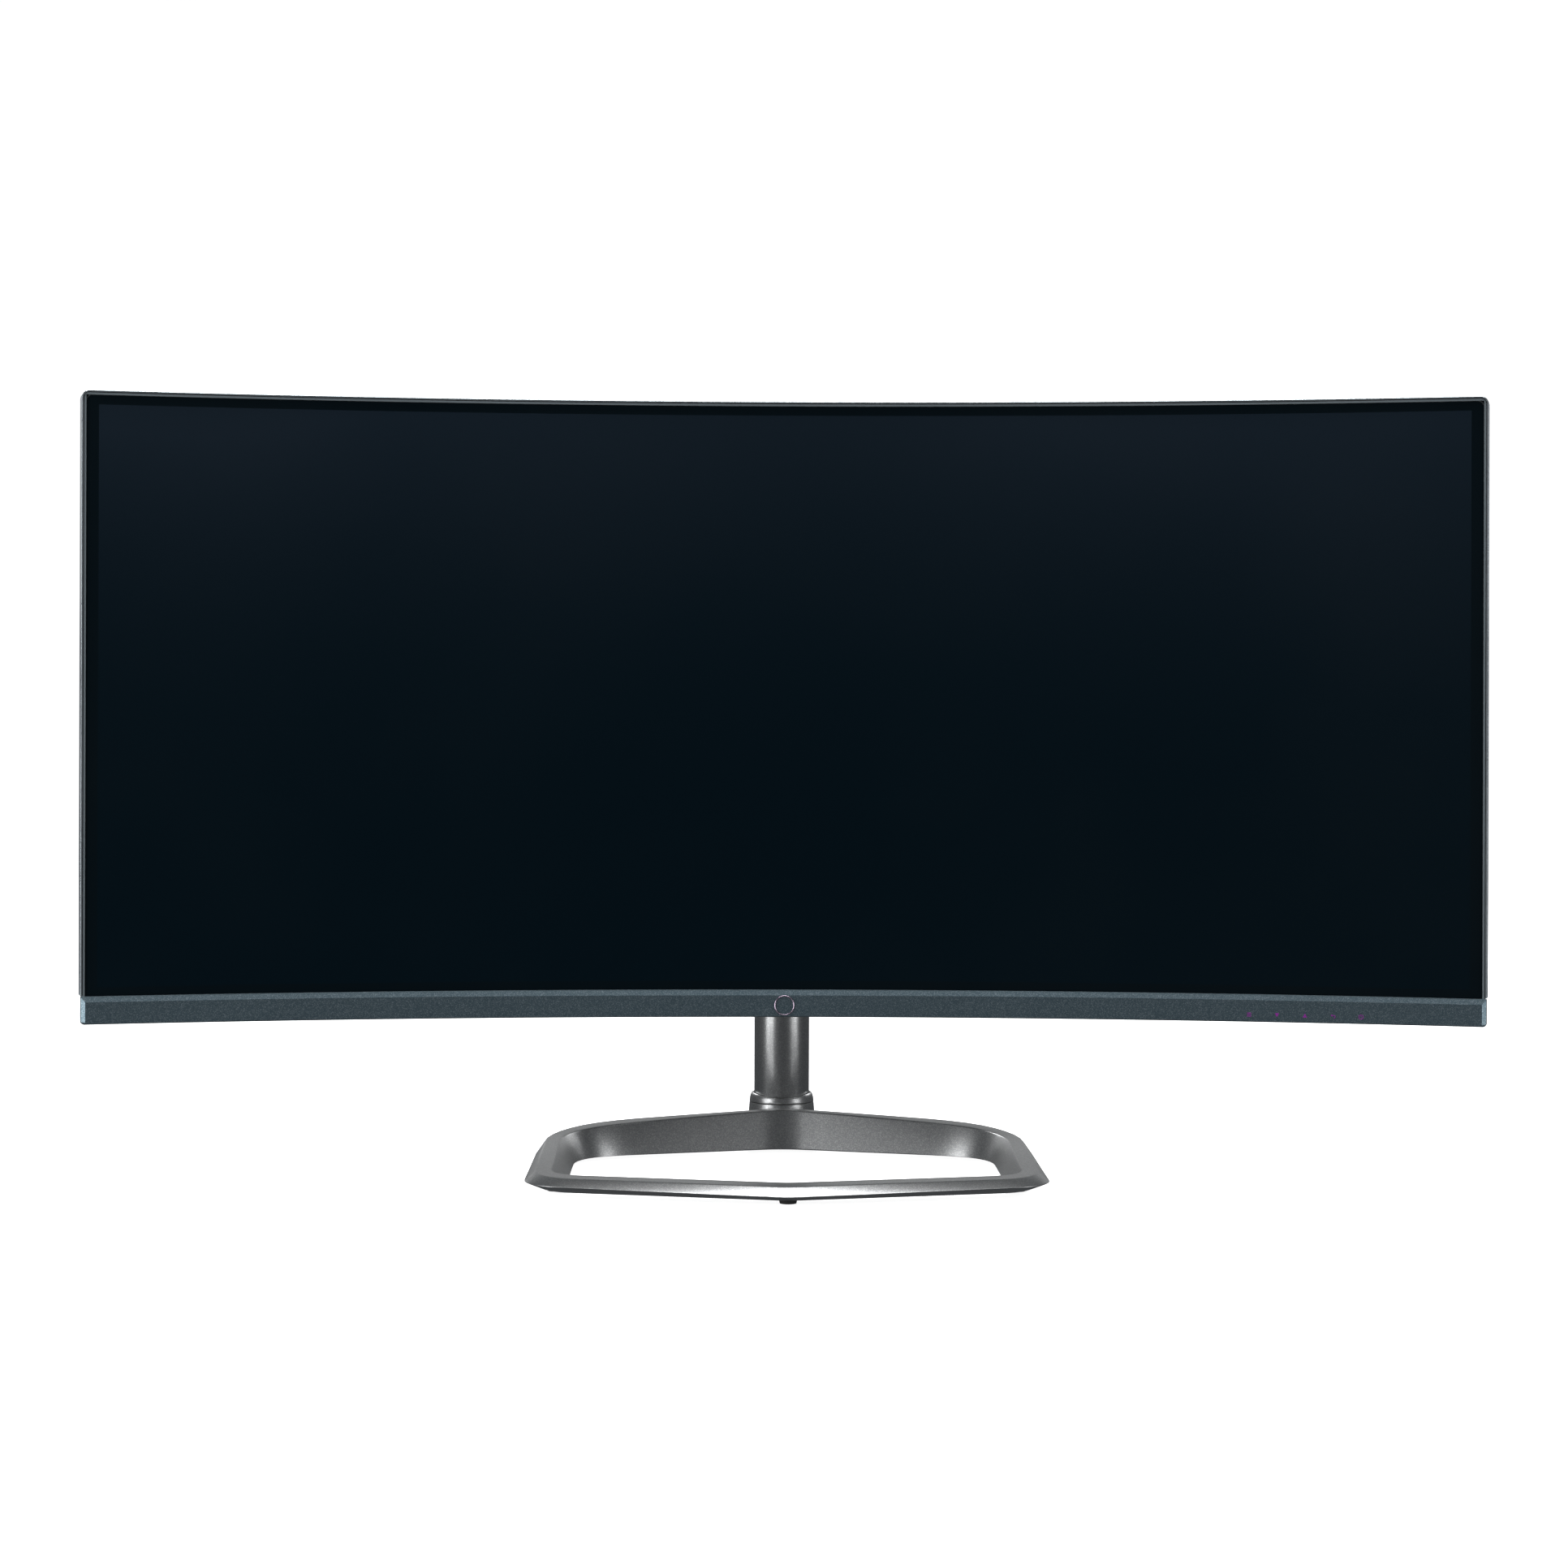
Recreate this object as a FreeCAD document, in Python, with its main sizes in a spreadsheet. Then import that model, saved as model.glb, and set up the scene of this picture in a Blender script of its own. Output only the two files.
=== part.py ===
import FreeCAD, Part
import math
import os

import Sketcher

# A curved ultra-wide computer monitor on a swivelling, sliding and tilting stand.
# Units are millimetres. The origin is the swivel axis on the desk, +Z is up, the screen faces -Y.
# Curved pieces are placed by depth behind the screen's front surface and by arc along its curve.

SIZES = {
    # screen and its outline
    "panel_radius": 1500.0,
    "panel_front": 96.0,
    "screen_height": 268.0,
    "outline_height": 363.0,
    "half_arc": 408.3,
    "corner_radius": 4.5,
    # layers of the panel, as depth behind the front surface
    "cell_front": 0.8,
    "cell_back": 2.4,
    "film_front": 2.6,
    "film_back": 3.2,
    "guide_front": 3.4,
    "guide_back": 6.4,
    "reflector_front": 6.5,
    "reflector_back": 6.8,
    "tray_front": 7.0,
    "tray_back": 8.0,
    "tray_wall": 0.8,
    "cell_margin": 2.9,
    "stack_margin": 6.0,
    "stack_low": 99.0,
    "stack_gap": 0.4,
    "cell_low": 97.5,
    "led_low": 95.7,
    "led_high": 98.7,
    "tray_low": 94.5,
    "source_front": 8.4,
    "source_back": 9.4,
    "source_half_arc": 260.0,
    "source_low": 100.0,
    "source_high": 112.0,
    "timing_left": 110.0,
    "timing_right": 10.0,
    "timing_front": 86.5,
    "timing_back": 85.0,
    "timing_low": 150.0,
    "timing_high": 180.0,
    # cutting tools reach this far past what they cut
    "overcut": 1.0,
    "deep_overcut": 5.0,
    # trim, mid frame and chin
    "trim_wall": 1.0,
    "trim_proud": 0.6,
    "trim_back": 12.0,
    "frame_gap": 0.4,
    "frame_wall": 1.2,
    "frame_back": 9.0,
    "frame_low_gap": 0.2,
    "frame_window_low": 93.9,
    "key_room_gap": 0.5,
    "key_room_half_arc": 60.0,
    "chin_height": 16.2,
    "chin_proud": 3.0,
    "chin_wall": 1.6,
    "chin_bevel": 3.2,
    "chin_back": 12.0,
    "chin_edge": 2.0,
    "chin_end_bevel": 1.4,
    "chin_lip_front": 0.6,
    "chin_lip_back": 0.1,
    "chin_lip_height": 0.4,
    "chin_gap": 0.3,
    "shelf_wall": 1.6,
    "badge_radius": 5.6,
    "badge_wire": 0.35,
    "badge_height": 93.6,
    "badge_gap": 0.05,
    # rear cover
    "cover_wall": 2.0,
    "cover_front": 12.2,
    "cover_back": 18.0,
    "cover_inset": 1.4,
    "cover_chamfer": 3.5,
    "bulge_back": 40.0,
    "bulge_arc": 235.0,
    "bulge_low": 146.0,
    "bulge_high": 363.0,
    "bulge_chamfer": 8.0,
    "hull_overlap": 0.5,
    "window_side": 120.0,
    "window_cut": 20.0,
    "bay_half_width": 150.0,
    "bay_low": 136.0,
    "bay_ceiling": 186.0,
    "bay_back": 40.0,
    "bay_floor_depth": 20.0,
    "vent_count": 29,
    "vent_pitch": 14.0,
    "vent_width": 3.0,
    "vent_low": 334.0,
    "vent_height": 20.0,
    "vent_cut": 12.0,
    "lock_arc": 227.0,
    "lock_front": 22.0,
    "lock_back": 48.0,
    "lock_half_width": 3.5,
    "lock_low": 200.0,
    "lock_high": 203.0,
    "latch_height": 199.5,
    "latch_slot_width": 21.6,
    "latch_slot_height": 10.5,
    "latch_half_width": 10.4,
    "latch_front": 62.0,
    "latch_back": 52.5,
    "latch_low": 195.0,
    "latch_high": 201.0,
    # screws of the cover
    "cover_screw_seat": 7.0,
    "cover_screw_bore": 2.6,
    "cover_screw_bore_depth": 12.0,
    "cover_screw_shank": 1.5,
    "cover_screw_length": 4.0,
    "cover_screw_head": 2.4,
    "cover_screw_head_height": 1.6,
    "cover_screw_low": 120.0,
    "cover_screw_high": 420.0,
    "cover_screw_outer": 330.0,
    "cover_screw_upper": 110.0,
    "cover_screw_lower": 200.0,
    # mounting bracket, chassis and stand dock
    "arm_pitch": 100.0,
    "arm_hole": 1.65,
    "bracket_side": 116.0,
    "bracket_wall": 2.5,
    "bracket_leg": 2.0,
    "boss_radius": 4.0,
    "boss_depth": 8.0,
    "chassis_half_width": 195.0,
    "chassis_front": 81.0,
    "chassis_back": 80.0,
    "chassis_low": 191.0,
    "chassis_high": 345.0,
    "chassis_opening": 120.5,
    "dock_face": 54.0,
    "dock_side": 84.0,
    "dock_wall": 5.0,
    "dock_screw_offset": 34.0,
    "dock_tap": 2.0,
    "dock_tap_depth": 3.5,
    "dock_bore": 2.1,
    "dock_sink": 4.1,
    "dock_sink_depth": 2.6,
    "dock_shank": 1.95,
    "dock_shank_depth": 3.2,
    "dock_screw_head": 3.9,
    "dock_screw_head_height": 2.2,
    # tilt head
    "tilt_y": 38.0,
    "tilt_ear_radius": 8.0,
    "pin_radius": 4.0,
    "running_gap": 0.05,
    "washer_gap": 0.1,
    "washer_wall": 3.2,
    "washer_rim": 0.5,
    "nut_wall": 2.0,
    "nut_gap": 0.1,
    "pin_overhang": 2.0,
    "knuckle_half": 22.0,
    "ear_inner": 26.0,
    "ear_outer": 32.0,
    "neck_half_width": 7.0,
    "neck_half_height": 15.0,
    "neck_back": 11.0,
    "head_plate_wall": 4.0,
    "head_plate_back": 22.0,
    "head_plate_half_height": 20.0,
    "shroud_half_width": 38.0,
    "shroud_half_height": 27.0,
    "shroud_front": 36.0,
    "shroud_back": 19.0,
    "shroud_wall": 1.8,
    "shroud_gap": 0.4,
    # column
    "column_radius": 17.0,
    "column_wall": 2.0,
    "column_high": 398.0,
    "slot_half_width": 8.0,
    "slot_low": 190.0,
    "slot_high": 392.0,
    "rod_radius": 2.5,
    "rod_offset": 10.5,
    "glider_radius": 14.6,
    "glider_height": 50.0,
    "rod_low": 50.0,
    "rod_length": 340.0,
    "reel_height": 383.0,
    "reel_radius": 6.8,
    "reel_back": 1.0,
    "reel_width": 12.4,
    "axle_radius": 1.5,
    "axle_length": 15.6,
    "cheek_offset": 7.1,
    "cheek_wall": 1.2,
    "cheek_front": 3.0,
    "cheek_back": 6.0,
    "cheek_drop": 4.0,
    "spring_width": 10.0,
    "spring_wall": 0.4,
    "cap_low": 390.0,
    "cap_wall": 3.0,
    "cap_bevel": 1.0,
    "spigot_gap": 0.2,
    "plug_gap": 0.1,
    "plug_lift": 0.6,
    "plug_high": 50.0,
    "plug_bore": 12.0,
    # base and swivel
    "foot_height": 2.2,
    "foot_radius": 5.0,
    "side_foot_radius": 4.0,
    "ring_belt": 5.0,
    "hub_radius": 33.0,
    "hub_high": 23.9,
    "hub_toe": 1.5,
    "hub_toe_height": 2.0,
    "hub_draft": 2.0,
    "hub_shoulder": 5.0,
    "hub_wall_high": 13.0,
    "hub_rim_high": 16.0,
    "boss_high": 18.0,
    "web_half_width": 24.0,
    "web_front": 47.0,
    "web_high": 17.5,
    "pad_inner": 17.0,
    "pad_outer": 27.0,
    "insert_radius": 17.0,
    "insert_low": 10.0,
    "insert_gap": 0.1,
    "post_radius": 8.0,
    "post_high": 44.0,
    "spigot_radius": 4.0,
    "spigot_high": 48.0,
    "thread_top": 17.0,
    "retainer_radius": 11.0,
    "retainer_wall": 2.5,
    "seam_height": 25.3,
    "seam_gap": 0.4,
    "collar_radius": 20.4,
    "collar_neck": 19.9,
    "collar_gap": 0.15,
    "collar_high": 31.6,
    "collar_draft": 0.4,
    "draft_high": 28.6,
    "collar_shoulder": 1.1,
    "shoulder_high": 30.6,
    "collar_top": 2.1,
    "saddle_radius": 66.0,
    "saddle_low": 29.0,
    "washer_inner_gap": 0.2,
    "washer_outer": 16.8,
    "lower_collar_bore": 17.1,
    "column_rise": 0.3,
    # thumbscrew
    "screw_radius": 3.0,
    "screw_head_radius": 12.0,
    "screw_head_low": 3.6,
    "screw_head_high": 6.6,
    "screw_tip": 16.0,
    "screw_relief": 0.5,
    "lug_half_width": 2.5,
    "lug_half_depth": 2.0,
    "lug_low": 1.2,
    "recess_radius": 15.0,
    "recess_high": 7.0,
    "ring_wire": 0.9,
    "ring_reach": 9.5,
    "ring_axis_height": 2.5,
    # buttons under the chin
    "button_first": 272.6,
    "button_pitch": 16.1,
    "button_length": 9.0,
    "button_width": 4.0,
    "button_depth": 10.0,
    "button_drop": 0.8,
    "button_gap": 0.25,
    "button_stem": 0.9,
    "switch_half_depth": 1.7,
    "switch_half_width": 2.6,
    "key_board_rise": 6.4,
    "key_board_wall": 1.4,
    "key_board_gap": 0.3,
    "key_board_half_arc": 42.0,
    # sockets in the bay
    "socket_back": 70.0,
    "socket_gap": 0.2,
    "socket_wall": 0.5,
    "socket_height": 11.0,
    "socket_width": 5.8,
    "mouth_gap": 0.4,
    "mouth_cut": 4.0,
    "tongue_wall": 1.4,
    "tongue_shift": 0.6,
    "video_a": 136.0,
    "video_b": 118.0,
    "video_length": 15.0,
    "video_tongue": 10.0,
    "graphics_a": 99.0,
    "graphics_b": 80.0,
    "graphics_length": 16.6,
    "graphics_tongue": 12.0,
    "audio_across": 66.0,
    "audio_side": 6.6,
    "audio_height": 12.0,
    "audio_bore": 1.8,
    "audio_bore_depth": 10.0,
    "inlet_back": 70.2,
    "inlet_across": 76.0,
    "inlet_length": 27.2,
    "inlet_width": 18.8,
    "inlet_height": 18.0,
    "inlet_wall": 1.4,
    "inlet_floor": 2.5,
    "pin_pitch": 7.0,
    "pin_offset": 2.0,
    "pin_wide": 4.0,
    "pin_thin": 2.0,
    "pin_length": 11.0,
    # boards and leads inside the cover
    "board_front": 77.0,
    "board_back": 75.4,
    "board_outer": 188.0,
    "board_inner": 62.0,
    "board_high": 320.0,
    "main_board_low": 193.0,
    "power_board_low": 208.0,
    "lead_level": 189.2,
    "lead_wall": 0.4,
    "panel_lead_left": 100.0,
    "panel_lead_right": 80.0,
    "panel_lead_front": 84.8,
    "panel_lead_back": 75.0,
    "panel_lead_low": 168.0,
    "panel_lead_high": 200.0,
    "key_lead_rise": 130.0,
    "key_lead_reach": 282.0,
    "key_lead_low": 96.0,
    "light_lead_rise": 150.0,
    "light_lead_reach": 375.0,
    "light_lead_low": 122.0,
    "side_lead_front": 10.0,
    "side_lead_back": 77.5,
    "side_lead_width": 4.0,
    "side_lead_wall": 1.0,
    "side_lead_turn": 0.8,
}

FRONT = "size.panel_radius"
AXIS_Y = "(0 - size.panel_front - size.panel_radius)"
BOTTOM = "(size.screen_height - size.outline_height/2)"
TOP = "(size.screen_height + size.outline_height/2)"
BUTTON_MIDDLE = "size.button_first + 2*size.button_pitch"
BUTTON_NAMES = ["menu_button", "down_button", "up_button", "back_button", "power_button"]
CORNERS = ((-1, -1), (1, -1), (-1, 1), (1, 1))
SOCKET_LOW = "size.bay_ceiling + size.cover_wall + size.socket_gap"
TURN = FreeCAD.Vector(0, 0, 1)
CROSS = FreeCAD.Vector(1, 0, 0)

# The ring casting: each loop is half width, front apex, front corner, rear corner, rear apex,
# front rounding and rear rounding.
LOOP_FLOOR = (136.0, -257.5, -225.0, -74.0, -43.0, 26.0, 56.0)
LOOP_BELT = (145.3, -265.5, -242.0, -62.0, -38.0, 28.0, 64.0)
LOOP_OUTER_CREST = (139.5, -259.4, -232.2, -66.3, -42.0, 30.0, 62.0)
LOOP_INNER_CREST = (131.0, -246.0, -222.5, -83.0, -48.0, 22.0, 45.6)
LOOP_INNER_FLOOR = (122.5, -243.0, -219.0, -87.5, -50.0, 16.0, 41.0)
CORNER_STEPS = 6
# Its belt: the height at the apexes and how much it rises by this far to the sides.
BELT_RISE = 3.0
BELT_HALF_WIDTH = 140.0
# Its top: height and slope in front, then an eased rise behind that fades to the sides.
CREST_FRONT = 10.2
CREST_SLOPE = 0.044
CREST_START = -258.0
CREST_REAR = -115.0
CREST_EASE = 50.0
CREST_HALF_WIDTH = 135.0
CREST_RISE = 6.6
CREST_POWER = 0.8
FEET = ((0.0, -250.3, "size.foot_radius"), (129.2, -205.0, "size.side_foot_radius"),
        (-129.2, -205.0, "size.side_foot_radius"), (129.2, -112.0, "size.side_foot_radius"),
        (-129.2, -112.0, "size.side_foot_radius"))

doc = FreeCAD.newDocument("monitor")
sheet = doc.addObject("Spreadsheet::Sheet", "size")
for row, (alias, number) in enumerate(SIZES.items(), start=1):
    sheet.set(f"A{row}", alias.replace("_", " "))
    sheet.set(f"B{row}", str(number))
    sheet.setAlias(f"B{row}", alias)
doc.recompute()

NODES = []


def value(expression):
    """Work out an expression on the sheet as a plain number."""
    return float(sheet.evalExpression(str(expression)))


def node(item, label):
    """Mark an object as one finished sub-part of the monitor."""
    item.Label = label
    NODES.append(item)
    return item


def place(item, across="0", back="0", up="0", axis=None, angle=0.0):
    """Place an object at expressions for x, y and z, turned about an axis if one is given."""
    if axis is not None:
        item.Placement = FreeCAD.Placement(FreeCAD.Vector(), FreeCAD.Rotation(axis, angle))
    for prop, expression in (("x", across), ("y", back), ("z", up)):
        item.setExpression(f"Placement.Base.{prop}", str(expression))
    return item


def block(name, across, back, up, length, width, height):
    """Make a box centred on (across, back, up)."""
    item = doc.addObject("Part::Box", name)
    for prop, expression in (("Length", length), ("Width", width), ("Height", height)):
        item.setExpression(prop, str(expression))
    return place(item, f"({across}) - ({length})/2", f"({back}) - ({width})/2",
                 f"({up}) - ({height})/2")


def span_block(name, left, right, front, rear, low, high):
    """Make a box from its six sides."""
    return block(name, f"(({left}) + ({right}))/2", f"(({front}) + ({rear}))/2",
                 f"(({low}) + ({high}))/2", f"({right}) - ({left})", f"({rear}) - ({front})",
                 f"({high}) - ({low})")


def rod(name, radius, length, across, back, up, along="z"):
    """Make a cylinder that starts at (across, back, up) and runs along x, y or z."""
    item = doc.addObject("Part::Cylinder", name)
    item.setExpression("Radius", str(radius))
    item.setExpression("Height", str(length))
    turns = {"x": (FreeCAD.Vector(0, 1, 0), 90.0), "y": (FreeCAD.Vector(1, 0, 0), -90.0),
             "z": (TURN, 0.0)}
    axis, angle = turns[along]
    return place(item, across, back, up, axis, angle)


def sketch_outline(body, name, role, points):
    """Draw a closed straight-sided outline whose corners follow the sheet."""
    sketch = body.newObject("Sketcher::SketchObject", name)
    plane = next(item for item in body.Origin.OriginFeatures if item.Role == role)
    sketch.AttachmentSupport = [(plane, "")]
    sketch.MapMode = "FlatFace"
    corners = [FreeCAD.Vector(value(across), value(up), 0) for across, up in points]
    for start, end in zip(corners, corners[1:] + corners[:1]):
        sketch.addGeometry(Part.LineSegment(start, end), False)
    for line in range(len(corners)):
        following = (line + 1) % len(corners)
        sketch.addConstraint(Sketcher.Constraint("Coincident", line, 2, following, 1))
    for line, (across, up) in enumerate(points):
        for kind, expression in (("DistanceX", across), ("DistanceY", up)):
            rule = Sketcher.Constraint(kind, -1, 1, line, 1, value(expression))
            index = sketch.addConstraint(rule)
            label = f"{kind}{line}"
            sketch.renameConstraint(index, label)
            sketch.setExpression(f"Constraints.{label}", str(expression))
    return sketch


def turned(name, points):
    """Revolve an outline of (radius, height) points about the Z axis."""
    body = doc.addObject("PartDesign::Body", name)
    sketch = sketch_outline(body, f"{name}_profile", "XZ_Plane", points)
    turn = body.newObject("PartDesign::Revolution", f"{name}_turn")
    turn.Profile = sketch
    turn.ReferenceAxis = (sketch, ["V_Axis"])
    turn.Angle = 360
    doc.recompute()
    return body


def ring(name, inner, outer, low, high):
    """Turn a flat ring between two radii and two heights."""
    return turned(name, [(inner, low), (outer, low), (outer, high), (inner, high)])


def curved(name, points, half_arc, centre_arc="0"):
    """Sweep an outline of (depth, height) points along the screen's curve."""
    body = doc.addObject("PartDesign::Body", name)
    section = [(f"{FRONT} + ({depth})", up) for depth, up in points]
    sketch = sketch_outline(body, f"{name}_section", "YZ_Plane", section)
    turn = body.newObject("PartDesign::Revolution", f"{name}_sweep")
    turn.Profile = sketch
    turn.ReferenceAxis = (sketch, ["V_Axis"])
    turn.Midplane = True
    turn.setExpression("Angle", f"2*({half_arc})/{FRONT}*180/pi")
    angle = -math.degrees(value(centre_arc) / value(FRONT))
    place(body, "0", AXIS_Y, "0", TURN, angle)
    doc.recompute()
    return body


def plate(name, front, rear, half_arc, low, high, centre_arc="0"):
    """Sweep a plain rectangular section between two depths and two heights."""
    corners = [(front, low), (rear, low), (rear, high), (front, high)]
    return curved(name, corners, half_arc, centre_arc)


def padded(name, role, points, thickness):
    """Pad an outline by half a thickness to each side of an origin plane."""
    body = doc.addObject("PartDesign::Body", name)
    sketch = sketch_outline(body, f"{name}_outline", role, points)
    pad = body.newObject("PartDesign::Pad", f"{name}_pad")
    pad.Profile = sketch
    pad.Midplane = True
    pad.setExpression("Length", str(thickness))
    doc.recompute()
    return body


def soften(body, kind, radius, chosen):
    """Fillet or chamfer the body's edges for which chosen(edge) holds."""
    base = body.Tip
    names = [f"Edge{number}" for number, edge in enumerate(base.Shape.Edges, start=1)
             if chosen(edge)]
    feature = body.newObject(f"PartDesign::{kind}", f"{body.Name}_{kind.lower()}")
    feature.Base = (base, names)
    feature.setExpression("Radius" if kind == "Fillet" else "Size", str(radius))
    doc.recompute()
    return body


def cut(name, base, tools):
    """Cut one or more tools from a base."""
    tool = tools[0]
    if len(tools) > 1:
        tool = fuse(f"{name}_tools", tools)
    item = doc.addObject("Part::Cut", name)
    item.Base = base
    item.Tool = tool
    return item


def fuse(name, parts):
    """Fuse parts to one solid."""
    item = doc.addObject("Part::MultiFuse", name)
    item.Shapes = parts
    return item


def group(name, parts):
    """Keep separate solids together as one node."""
    item = doc.addObject("Part::Compound", name)
    item.Links = parts
    return item


def depth_y(depth, across="0"):
    """Give the y of a point at a depth behind the screen and at x across."""
    return f"({AXIS_Y} + sqrt(({FRONT} + ({depth}))^2 - ({across})^2))"


def is_upright(edge):
    """Tell whether an edge runs parallel to Z."""
    ends = [vertex.Point for vertex in edge.Vertexes]
    if len(ends) < 2:
        return False
    step = ends[1] - ends[0]
    return math.hypot(step.x, step.y) < 1e-4 < abs(step.z)


def is_radial_at(height):
    """Make a test for short edges that run through the depth at one height."""
    def chosen(edge):
        ends = [vertex.Point for vertex in edge.Vertexes]
        if len(ends) < 2:
            return False
        level = all(abs(point.z - height) < 1e-4 for point in ends)
        return level and abs(ends[0].Length - ends[1].Length) > 1.0 and edge.Length < 60.0
    return chosen


# ---- panel -------------------------------------------------------------------------------

def build_panel():
    """Build the layers of the curved panel and its tray."""
    cell_arc = "size.half_arc - size.cell_margin"
    stack_arc = "size.half_arc - size.stack_margin"
    cell_top = f"{TOP} - size.cell_margin"
    stack_top = f"{TOP} - size.stack_margin"
    node(plate("lcd_cell", "size.cell_front", "size.cell_back", cell_arc, "size.cell_low",
               cell_top), "lcd_cell")
    diffuser = plate("diffuser_film", "size.film_front", "size.film_back", stack_arc,
                     "size.stack_low", stack_top)
    reflector = plate("reflector_film", "size.reflector_front", "size.reflector_back",
                      stack_arc, "size.stack_low", stack_top)
    node(group("films", [diffuser, reflector]), "optical_films")
    node(plate("light_guide", "size.guide_front", "size.guide_back", stack_arc,
               "size.stack_low", stack_top), "light_guide")
    node(plate("led_strip", "size.guide_front", "size.guide_back", stack_arc,
               "size.led_low", "size.led_high"), "led_strip")
    room_arc = f"{stack_arc} + size.stack_gap"
    room_top = f"{stack_top} + size.stack_gap"
    shell = plate("tray_shell", "size.film_front", "size.tray_back",
                  f"{room_arc} + size.tray_wall", "size.tray_low", f"{room_top} + size.tray_wall")
    hollow = plate("tray_hollow", "size.film_front - size.overcut", "size.tray_front", room_arc,
                   "size.tray_low + size.tray_wall", room_top)
    node(cut("tray", shell, [hollow]), "panel_tray")
    node(plate("source_board", "size.source_front", "size.source_back", "size.source_half_arc",
               "size.source_low", "size.source_high"), "source_board")
    node(span_block("timing_board", "0 - size.timing_left", "size.timing_right",
                    "0 - size.timing_front", "0 - size.timing_back", "size.timing_low",
                    "size.timing_high"), "timing_board")


def build_trim():
    """Build the thin outer trim and the plastic mid frame inside it."""
    inner_arc = "size.half_arc - size.trim_wall"
    chin_top = f"{BOTTOM} + size.chin_height"
    outer = plate("trim_outer", "0 - size.trim_proud", "size.trim_back", "size.half_arc",
                  BOTTOM, TOP)
    soften(outer, "Fillet", "size.corner_radius", is_radial_at(value(TOP)))
    inner = plate("trim_inner", "0 - size.trim_proud - size.overcut",
                  "size.trim_back + size.overcut", inner_arc, f"{BOTTOM} - size.overcut",
                  f"{TOP} - size.trim_wall")
    soften(inner, "Fillet", "size.corner_radius - size.trim_wall",
           is_radial_at(value(f"{TOP} - size.trim_wall")))
    chin_room = plate("trim_chin_room", "0 - size.deep_overcut",
                      "size.trim_back + size.overcut", "size.half_arc + size.deep_overcut",
                      f"{BOTTOM} - size.overcut", f"{chin_top} + size.chin_gap")
    node(cut("trim", outer, [inner, chin_room]), "outer_trim")

    frame_arc = f"{inner_arc} - size.frame_gap"
    frame_top = f"{TOP} - size.trim_wall - size.frame_gap"
    frame = plate("frame_outer", "0", "size.frame_back", frame_arc,
                  f"{BOTTOM} + size.shelf_wall + size.frame_low_gap", frame_top)
    soften(frame, "Fillet", "size.corner_radius - size.trim_wall - size.frame_gap",
           is_radial_at(value(frame_top)))
    window = plate("frame_window", "0 - size.overcut", "size.frame_back + size.overcut",
                   f"{frame_arc} - size.frame_wall", "size.frame_window_low",
                   f"{frame_top} - size.frame_wall")
    key_front = "size.button_depth - size.button_width/2 - size.key_room_gap"
    key_room = plate("frame_key_room", key_front, "size.frame_back + size.overcut",
                     "size.key_room_half_arc", f"{BOTTOM} - size.overcut", "size.stack_low",
                     BUTTON_MIDDLE)
    node(cut("frame", frame, [window, key_room]), "mid_frame")


def build_chin():
    """Build the chin with its bevel, its shelf and the button holes, and the badge ring."""
    front = "0 - size.chin_proud"
    top = f"{BOTTOM} + size.chin_height"
    section = [
        (f"{front} + size.chin_edge", BOTTOM),
        ("size.chin_back", BOTTOM),
        ("size.chin_back", f"{BOTTOM} + size.shelf_wall"),
        (f"{front} + size.chin_wall", f"{BOTTOM} + size.shelf_wall"),
        (f"{front} + size.chin_wall", f"{top} - size.chin_bevel"),
        ("0 - size.chin_lip_back", f"{top} - size.chin_lip_height"),
        ("0 - size.chin_lip_back", top),
        ("0 - size.chin_lip_front", top),
        (front, f"{top} - size.chin_bevel"),
        (front, f"{BOTTOM} + size.chin_edge"),
    ]
    chin = curved("chin", section, "size.half_arc")
    front_radius = value(f"{FRONT} - size.chin_proud")

    def is_front_end(edge):
        points = [vertex.Point for vertex in edge.Vertexes]
        return is_upright(edge) and all(
            abs(math.hypot(point.x, point.y) - front_radius) < 1e-3 for point in points)

    soften(chin, "Chamfer", "size.chin_end_bevel", is_front_end)
    holes = [button_block(f"button_hole_{index}", index, "size.button_gap",
                          f"{BOTTOM} - size.overcut",
                          f"{BOTTOM} + size.shelf_wall + size.overcut")
             for index in range(len(BUTTON_NAMES))]
    node(cut("chin_bezel_cut", chin, holes), "chin_bezel")

    badge = doc.addObject("Part::Torus", "badge")
    badge.setExpression("Radius1", "size.badge_radius")
    badge.setExpression("Radius2", "size.badge_wire")
    place(badge, "0", depth_y("0 - size.chin_proud - size.badge_wire - size.badge_gap"),
          "size.badge_height", CROSS, 90.0)
    node(badge, "badge_ring")


def button_block(name, index, margin, low, high):
    """Make the upright block of one push button, grown by a margin all round."""
    return plate(name, f"size.button_depth - size.button_width/2 - {margin}",
                 f"size.button_depth + size.button_width/2 + {margin}",
                 f"size.button_length/2 + {margin}", low, high,
                 f"size.button_first + {index}*size.button_pitch")


def build_buttons():
    """Build the five push buttons, their switches and the key board."""
    stem_top = f"{BOTTOM} + size.shelf_wall + size.button_stem"
    board_low = f"{BOTTOM} + size.key_board_rise"
    switches = []
    for index, name in enumerate(BUTTON_NAMES):
        stem = button_block(f"{name}_stem", index, "0", f"{BOTTOM} - size.button_drop",
                            stem_top)
        node(stem, name)
        switches.append(plate(f"switch_{index}", "size.button_depth - size.switch_half_depth",
                              "size.button_depth + size.switch_half_depth",
                              "size.switch_half_width", f"{stem_top} + size.button_drop",
                              board_low, f"size.button_first + {index}*size.button_pitch"))
    node(group("switches", switches), "tact_switches")
    node(plate("key_board", "size.tray_back + size.key_board_gap",
               "size.trim_back - size.key_board_gap", "size.key_board_half_arc", board_low,
               f"{board_low} + size.key_board_wall", BUTTON_MIDDLE), "key_board")


# ---- rear cover --------------------------------------------------------------------------

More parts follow.
